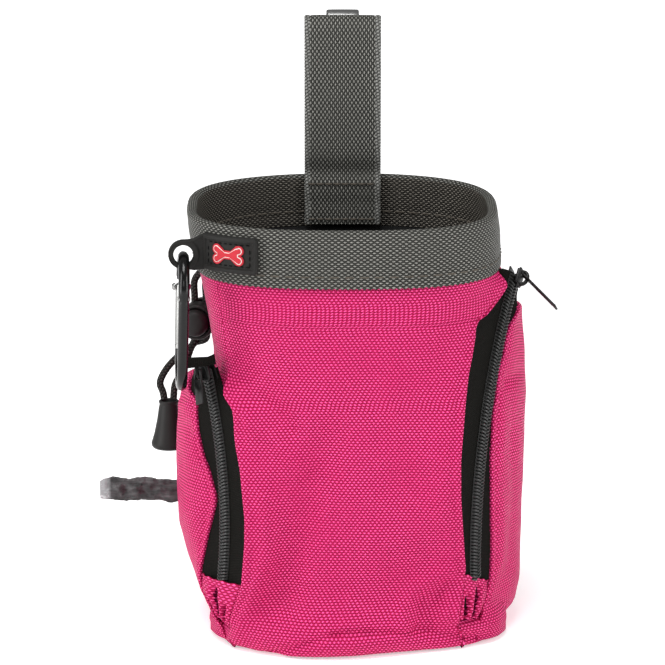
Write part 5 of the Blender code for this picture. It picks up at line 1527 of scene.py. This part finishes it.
def pocket_rows(track_edge, edge_i, silhouette, start_sign, end_az, power, half_front, half_rear, slope, cut):
    """Panel from its zip edge round to the rear seam, with a turned-in lip and top."""
    z_top = silhouette[-1][0] - cut
    zs = [3.2 + (z_top - 3.2) * k / 84.0 for k in range(85)]
    rows = []
    caps = [(z_top + 0.7, 0.35), (z_top + 1.3, 1.0), (z_top + 1.8, 2.0), (z_top + 2.1, 3.4), (z_top + 2.2, 5.5)]
    for z, inward in [(0.9, 2.2), (1.5, 1.1), (2.3, 0.4)] + [(z, 0.0) for z in zs] + caps:
        zz = min(max(z, 3.2), z_top)
        a0 = table(track_edge, zz)
        r0 = table(track_edge, zz, 2)
        a1 = end_az
        span = a1 - a0
        if start_sign > 0:
            span = (a1 + 360.0 - a0) % 360.0
        half_x = table(silhouette, zz) + (table(SIDE_BULGE, zz) if start_sign > 0 else 0.0)

        def body_r(az):
            south = (az % 360.0) > 180.0
            r = radius_of(az, half_x, half_front if south else half_rear, power if south else 2.0)
            r = max(r, wall_radius(az, zz) + 1.3)
            return r

        cols = []
        n = 84
        for k in range(n + 1):
            t = k / n
            az = a0 + span * t
            r = body_r(az)
            arc = abs(span) * t * math.radians(1) * r
            rear = abs(span) * (1 - t) * math.radians(1) * r
            r += (r0 - body_r(a0)) * math.exp(-(arc / 6.5) ** 2)
            r += 0.35 * math.exp(-((arc - 0.9) / 0.8) ** 2) - 0.35 * math.exp(-((arc - 2.4) / 0.55) ** 2)
            r = r + (wall_radius(az, zz) + 0.75 - r) * smooth(rear, 3.0, 0.0)
            r -= 0.4 * math.exp(-((rear - 4.0) / 0.6) ** 2)
            foot = smooth(z, 5.0, 8.5) if start_sign < 0 else smooth(z, 6.5, 10.0)
            r -= (1.0 - foot) * 1.0 * math.exp(-(arc / 3.5) ** 2)
            low = wall_radius(az, zz) + foot_puff(az, z) + 0.25 - (1.0 - foot) * 1.0 * math.exp(-(arc / 3.5) ** 2)
            r = max(low, r - inward)
            drop = slope * smooth(t, 0.06, 0.75) * smooth(z, 20.0, z_top)
            cols.append((az, r, smooth(arc, 1.5, 7.0) * smooth(rear, 1.5, 6.0), drop))
        under = [(cols[0][0] + (0.25 if start_sign < 0 else -0.25) * -1, cols[0][1] - 1.2, 0.0, 0.0), (cols[0][0], cols[0][1] - 0.8, 0.0, 0.0), (cols[0][0], cols[0][1] - 0.35, 0.0, 0.0)]
        cols = under + cols
        row = []
        for az, r, soft, drop in cols:
            p = at(az, r, z - drop)
            out = Vector((math.cos(math.radians(az)), math.sin(math.radians(az)), 0.0))
            hold = smooth(z, 3.0, 9.0) * smooth(z_top - z, 0.0, 6.0)
            p += out * fold(p, -out.y) * soft * hold * MM
            row.append(p)
        rows.append(row)
    return rows


lp = pocket_rows(LB, 0, LEFT_POCKET, -1, 136.0, 2.2, 47.0, 40.0, 8.0, 1.6)
rp = pocket_rows(RB, 0, RIGHT_POCKET, 1, 38.0, 2.0, 47.0, 40.0, 8.0, 8.2)
for name, rows, node, flip in (("left_pocket_cloth", lp, "left_pocket_panel", True), ("right_pocket_cloth", rp, "right_pocket_panel", False)):
    bm, lines = grid_mesh(rows, arc_uv(rows, False), flip=flip)
    made = finish_mesh(name, bm, PINK, "pouch", node, sharp=70)
    solid(made, 0.7)
    if node == "left_pocket_panel":
        tail_x = -52.6
        bored(made, [cutter(lambda b: slab(b, (14.0, 5.9, 12.0), Matrix.Translation(Vector((tail_x, TAIL_Y, TAIL_Z)) * MM), 0.02))])
        made.data.set_sharp_from_angle(angle=math.radians(70.0))

# --------------------------------------------------------------------- zips
BODY_EDGE = ((350.0, 214.0), (358.0, 216.0), (372.0, 218.5), (391.0, 226.0), (400.0, 230.5), (412.0, 238.0))
TAPE_CURL = ((266.0, 514.0), (272.0, 519.0), (280.0, 521.0), (292.0, 521.5), (300.0, 520.0), (308.0, 520.0))


def zip_tapes(prefix, track, body, top_extra, low_stop):
    for word, sign in (("inner", 0), ("outer", 1)):
        rows, uvr = [], []
        s = 0.0
        last = None
        for angle, c, d, n, back, front in track.rows:
            if c.z < low_stop or (c + d * 4.0).z > top_extra:
                continue
            if last is not None:
                s += (c - last).length
            last = c
            edge = (back - 1.6) if sign == 0 else (front + 1.6)
            near = -0.12 if sign == 0 else 0.12
            while abs(edge) > 0.8:
                sx, sy = seen((c + d * edge) * MM)
                if prefix == "left" and sy < 412.0 and sx > table(BODY_EDGE, sy) - 6.0 + 7.0 * smooth(sy, 388.0, 410.0):
                    edge *= 0.94
                elif prefix == "right" and (sy < 268.5 or (sy < 308.0 and sx > table(TAPE_CURL, sy))):
                    edge *= 0.94
                else:
                    break
            ws = [near + (edge - near) * k / 14.0 for k in range(15)]
            row, uu = [], []
            for w in ws:
                aw = abs(w)
                lift = 0.10 * math.exp(-((aw - 2.35) / 0.35) ** 2) + 0.05 * noise.noise(Vector((w / 2.0, s / 3.0, 0.0))) - 0.95 * smooth(aw, abs(edge) - 1.9, abs(edge) - 0.2) - 1.3 * smooth(aw, abs(edge) - 3.0, abs(edge)) * smooth(c.z, top_extra - 13.0, top_extra - 2.0)
                row.append((c + d * w + n * lift) * MM)
                uu.append((w, s))
            rows.append(row)
            uvr.append(uu)
        bm, lines = grid_mesh(rows, uvr, flip=(sign == 0))
        made = finish_mesh(f"{prefix}_tape_{word}", bm, TAPE, body, f"{prefix}_zip_tape_{word}", sharp=70)
        solid(made, 0.4, 0.0)


def zip_coils(prefix, track, body, low_stop, pitch=1.05):
    span = (track.sweep + 2.0 / track.radius)
    count = int(span * track.radius / pitch)
    for word, sign in (("inner", -1.0), ("outer", 1.0)):
        bm = bmesh.new()
        for i in range(count):
            angle = (i + (0.5 if sign > 0 else 0.0)) * pitch / track.radius
            path = []
            for w, l, along in ((2.35, 0.35, -0.45), (2.15, 0.75, -0.38), (1.55, 1.22, -0.2), (0.85, 1.42, 0.05), (0.28, 1.28, 0.28), (0.02, 0.85, 0.36)):
                c, d, n = track.at(angle + along / track.radius)
                path.append((c + d * (w * sign) + n * l) * MM)
            sweep_tube(bm, path, lambda f: 0.36 + 0.08 * math.sin(math.pi * f), 8)
        # the cord that the coil is sewn round, and its two rows of thread
        for w, l, r in ((1.2, 0.55, 0.42), (2.25, 0.35, 0.26)):
            path = []
            for k in range(count * 2):
                c, d, n = track.at(k * 0.5 * pitch / track.radius)
                path.append((c + d * (w * sign) + n * (l + 0.05 * math.sin(k * math.pi))) * MM)
            sweep_tube(bm, path, r, 8)
        finish_mesh(f"{prefix}_coil_{word}", bm, COIL, body, f"{prefix}_zip_coil_{word}")


zip_tapes("left", left, "pouch", 88.0, 9.0)
zip_tapes("right", right, "pouch", 115.6, 13.5)
zip_coils("left", left, "pouch", 20.0)
zip_coils("right", right, "pouch", 20.0)


def slider(prefix, track, body, puller_body, direction, length, width, small=1.0, eye_y=-0.15, shift=(0.0, 0.0, 0.0), stand=0.0):
    c, d, n = track.at(0.0)
    tilt = track.tilt
    axis = track.axis
    ray = track.first
    along = axis.cross(ray)
    m = frame_at(Vector(c) + Vector(shift), ray, along, axis)
    bm = bmesh.new()
    # top plate: wide at the mouth end, narrow at the tail
    slab(bm, (6.6 * small, 8.4 * small, 0.8), m @ Matrix.Translation(Vector((0, 0, 2.45)) * MM), 0.38, 4, taper=0.72)
    slab(bm, (6.6 * small, 8.4 * small, 0.6), m @ Matrix.Translation(Vector((0, 0, -1.0)) * MM), 0.28, 3, taper=0.72)
    slab(bm, (0.8, 2.4, 3.4), m @ Matrix.Translation(Vector((0, 0, 0.7)) * MM), 0.1)
    for s in (-1, 1):      # flanges that fold round the teeth
        slab(bm, (0.6, 7.0 * small, 0.9), m @ Matrix.Translation(Vector((s * 2.95 * small, 0, 2.05)) * MM), 0.2)
    # bridge: an arch over the puller's pin
    arch = []
    for k in range(21):
        a = math.pi * k / 20.0
        arch.append(m @ (Vector((0, 2.15 * math.cos(a), 2.7 + 2.05 * math.sin(a) ** 0.75)) * MM))
    sweep_tube(bm, arch, 0.62, 12)
    finish_mesh(f"{prefix}_slider_body", bm, SATIN, body, f"{prefix}_zip_slider")
    pivot = m @ Matrix.Translation(Vector((0, 0, 3.85 + stand)) * MM)
    dd = Vector(direction)
    dd = (dd - ray * dd.dot(ray)).normalized()
    out = ray.cross(dd)
    f = frame_at(pivot.translation / MM, ray, dd, out)
    bm = bmesh.new()
    # a strip with a slot for the bridge, slightly waisted, then a flat tongue
    outline_o, outline_i = [], []
    n_pts = 20
    ring = []
    hw = width / 2
    for k in range(25):
        a = math.pi * k / 24.0
        ring.append(f @ (Vector((hw * 0.8 * math.cos(a), eye_y - 0.55 * math.sin(a), 0)) * MM))
    loop = ring + [f @ (Vector((-hw * 0.8, eye_y + y, 0)) * MM) for y in (0.8, 1.8, 2.8)] + [f @ (Vector((hw * 0.8, eye_y + y, 0)) * MM) for y in (3.0, 2.4, 1.6, 0.8)]
    sweep_tube(bm, loop, 0.42, 10, cyclic=True)
    tongue = length - 2.6 - eye_y
    slab(bm, (width, tongue, 0.7), f @ Matrix.Translation(Vector((0, eye_y + 2.6 + tongue / 2, 0)) * MM), 0.28, 3)
    slab(bm, (width * 0.6, tongue * 0.7, 0.85), f @ Matrix.Translation(Vector((0, eye_y + 2.8 + tongue / 2, 0)) * MM), 0.2, 2)
    finish_mesh(f"{prefix}_puller_body", bm, SATIN, puller_body, f"{prefix}_zip_puller")
    return m


slider("left", left, "left_slider", "left_puller", left.axis * 0.2 + Vector((0, 0, -1)), 10.0, 3.4, 0.8, stand=0.45)
slider("right", right, "right_slider", "right_puller", Vector((0.65, -0.28, -0.70)), 14.6, 3.0, 0.68, eye_y=-2.2, stand=0.9)


# pink end tabs: the zip's foot is covered by a pleated offcut
def tab_cover(name, back_edge, front_edge, node, top_back, top_front, low_back, low_front, folds):
    """Pleated offcut over the zip's foot, between the two lips."""
    rows, uvr = [], []
    nv, m = 60, 56
    for i in range(nv + 1):
        t = i / nv                                    # 0 at the top, 1 at the foot
        row, uu = [], []
        for k in range(m + 1):
            f = k / m
            z = (top_back + (top_front - top_back) * f) * (1 - t) + (low_back + (low_front - low_back) * f) * t
            if t > 0.97 or t < 0.03:
                z += 0.5 * noise.noise(Vector((f * 9.0, 3.0 + t, 5.0)))
            if t > 0.8:
                z += 0.9 * (t - 0.8) * noise.noise(Vector((f * 30.0, 1.0, 8.0)))
            azb, azf = table(back_edge, z), table(front_edge, z)
            rb_, rf_ = table(back_edge, z, 2), table(front_edge, z, 2)
            spread = 0.5 + (f - 0.5) * 1.04
            az = azb + (azf - azb) * spread
            r = rb_ + (rf_ - rb_) * spread - 0.55
            puff = 0.35 + 1.35 * smooth(t, 0.0, 0.45) * smooth(1.04 - t, 0.0, 0.25) ** 0.5
            lift = 0.0
            for centre, width, top_t in folds:
                lift -= (0.4 + puff) * 1.5 * math.exp(-((f - centre - 0.05 * math.sin(t * 4.0)) / width) ** 2) * smooth(t, top_t - 0.1, top_t + 0.25)
            lobe = math.sin(math.pi * f) ** 0.55
            r += puff * lobe + lift + 0.16 * noise.noise(Vector((f * 4.0, t * 5.0, 2.0)))
            r -= 1.1 * (1 - smooth(f, 0.0, 0.07)) + 1.1 * (1 - smooth(1 - f, 0.0, 0.07))
            row.append(at(az, r, z))
            uu.append((f * 11.5, t * 14.0))
        rows.append(row)
        uvr.append(uu)
    bm, lines = grid_mesh(rows, uvr, flip=True)
    bmesh.ops.recalc_face_normals(bm, faces=bm.faces)
    mid_face = max(bm.faces, key=lambda q: -q.calc_center_median().y)
    if mid_face.normal.y > 0:
        bmesh.ops.reverse_faces(bm, faces=bm.faces)
    bm.faces.ensure_lookup_table()
    # Faces down the middle of each pleat take the darker pink copy: painted shade in the fold.
    for q, face in enumerate(bm.faces):
        t, f = (q // m + 0.5) / nv, (q % m + 0.5) / m
        for centre, width, top_t in folds:
            if abs(f - centre - 0.05 * math.sin(t * 4.0)) < width * 0.95 * smooth(t, top_t, top_t + 0.35) and t < 0.93:
                face.material_index = 1
    made = finish_mesh(name, bm, [PINK, PINK_PAINTED_SHADE], "pouch", node, sharp=70)
    solid(made, 0.45)


tab_cover("left_tab_cloth", LB, LF, "left_zip_end_tab", 19.6, 21.4, 8.6, 6.6, ((0.42, 0.085, 0.12), (0.70, 0.05, 0.5), (0.14, 0.05, 0.5)))
tab_cover("right_tab_cloth", RB, RF, "right_zip_end_tab", 18.6, 24.2, 7.6, 9.6, ((0.42, 0.09, 0.1), (0.75, 0.07, 0.4)))

# black garage of ribbon over the left zip's upper end
rows, uvr = [], []
top_line = ((186.0, 357.6), (190.0, 357.4), (199.0, 357.0), (208.0, 356.6), (214.5, 353.6))
low_line = ((186.0, 368.6), (190.0, 368.2), (199.0, 367.0), (208.0, 365.8), (216.2, 364.2))
for j in range(15):
    g = j / 14.0
    row, uu = [], []
    for k in range(29):
        f = k / 28.0
        def along(line_):
            q = f * (len(line_) - 1)
            i = min(len(line_) - 2, int(q))
            a, b = line_[i], line_[i + 1]
            return a[0] + (b[0] - a[0]) * (q - i), a[1] + (b[1] - a[1]) * (q - i)
        (x0, y0), (x1, y1) = along(top_line), along(low_line)
        x, y = x0 + (x1 - x0) * g, y0 + (y1 - y0) * g
        depth_y = -34.6 + 1.2 * f - 0.9 * math.sin(math.pi * f) - 0.55 * math.sin(math.pi * g) ** 0.5 - (0.35 if g > 0.8 else 0.0)
        ray = sight(x, y)
        p = EYE + ray * ((depth_y * MM - EYE.y) / ray.y)
        row.append(p)
        uu.append((f * 8.4, g * 3.6))
    rows.append(row)
    uvr.append(uu)
bm, lines = grid_mesh(rows, uvr)
bmesh.ops.recalc_face_normals(bm, faces=bm.faces)
if next(iter(bm.faces)).normal.y > 0:
    bmesh.ops.reverse_faces(bm, faces=bm.faces)
garage = finish_mesh("left_zip_garage", bm, TAPE, "pouch", sharp=70)
solid(garage, 0.7)

# ------------------------------------------------- CAD nodes carried over
for name, mat in (("drawstring_run", CORD), ("gate_spring", SPRING), ("cord_lock_spring", SPRING)):
    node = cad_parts[name]
    node.data.materials.clear()
    node.data.materials.append(mat)

# --------------------------------------------------------- floor and light
def stage_plane(name, size, where, tone):
    bm = bmesh.new()
    bmesh.ops.create_grid(bm, x_segments=8, y_segments=8, size=size)
    for v in bm.verts:
        v.co = where @ v.co
    k = Look(name)
    k.set(Base_Color=k.mix(k.noise(3.0, 2.0), tone, tuple(min(1.0, c * 1.02) for c in tone)), Roughness=0.9, Specular_IOR_Level=0.1, Emission_Color=(1.0, 1.0, 1.0))
    spot = k.tree.nodes.new("ShaderNodeTexCoord")
    parts = k.tree.nodes.new("ShaderNodeSeparateXYZ")
    k.tree.links.new(spot.outputs["Object"], parts.inputs[0])
    away = k.sums("SQRT", k.sums("ADD", k.sums("MULTIPLY", parts.outputs[0], parts.outputs[0]), k.sums("MULTIPLY", parts.outputs[1], parts.outputs[1])))
    reach = k.sums("SUBTRACT", away, 0.45, clamp=True)
    k.set(Emission_Strength=k.sums("ADD", 0.42, k.sums("MULTIPLY", reach, 0.9)))
    thing = finish_mesh(name, bm, k.mat, None)
    return thing


stage_plane("floor", 6.0, Matrix.Translation((0, 0, -0.0006)), (0.93, 0.93, 0.93))

world = bpy.data.worlds.new("studio")
scene.world = world
world.use_nodes = True
world.node_tree.nodes["Background"].inputs[0].default_value = (1.0, 1.0, 1.0, 1.0)
world.node_tree.nodes["Background"].inputs[1].default_value = 0.30


def softbox(name, where, aim, size, power, size_y=None):
    data = bpy.data.lights.new(name, "AREA")
    data.shape = "RECTANGLE"
    data.size = size
    data.size_y = size_y or size
    data.energy = power
    thing = bpy.data.objects.new(name, data)
    scene.collection.objects.link(thing)
    thing.location = where
    thing.rotation_euler = (Vector(aim) - Vector(where)).to_track_quat("-Z", "Y").to_euler()


softbox("left_box", (-0.95, -0.40, 0.35), (0, 0, 0.08), 0.45, 9.0, 0.9)
softbox("right_box", (0.95, -0.50, 0.35), (0, 0, 0.08), 0.45, 7.5, 0.9)
softbox("top_box", (-0.15, -0.35, 1.2), (0, 0, 0.08), 0.6, 10.0, 0.5)
softbox("front_box", (-0.25, -1.5, 0.75), (0, 0, 0.08), 0.5, 2.2, 0.4)
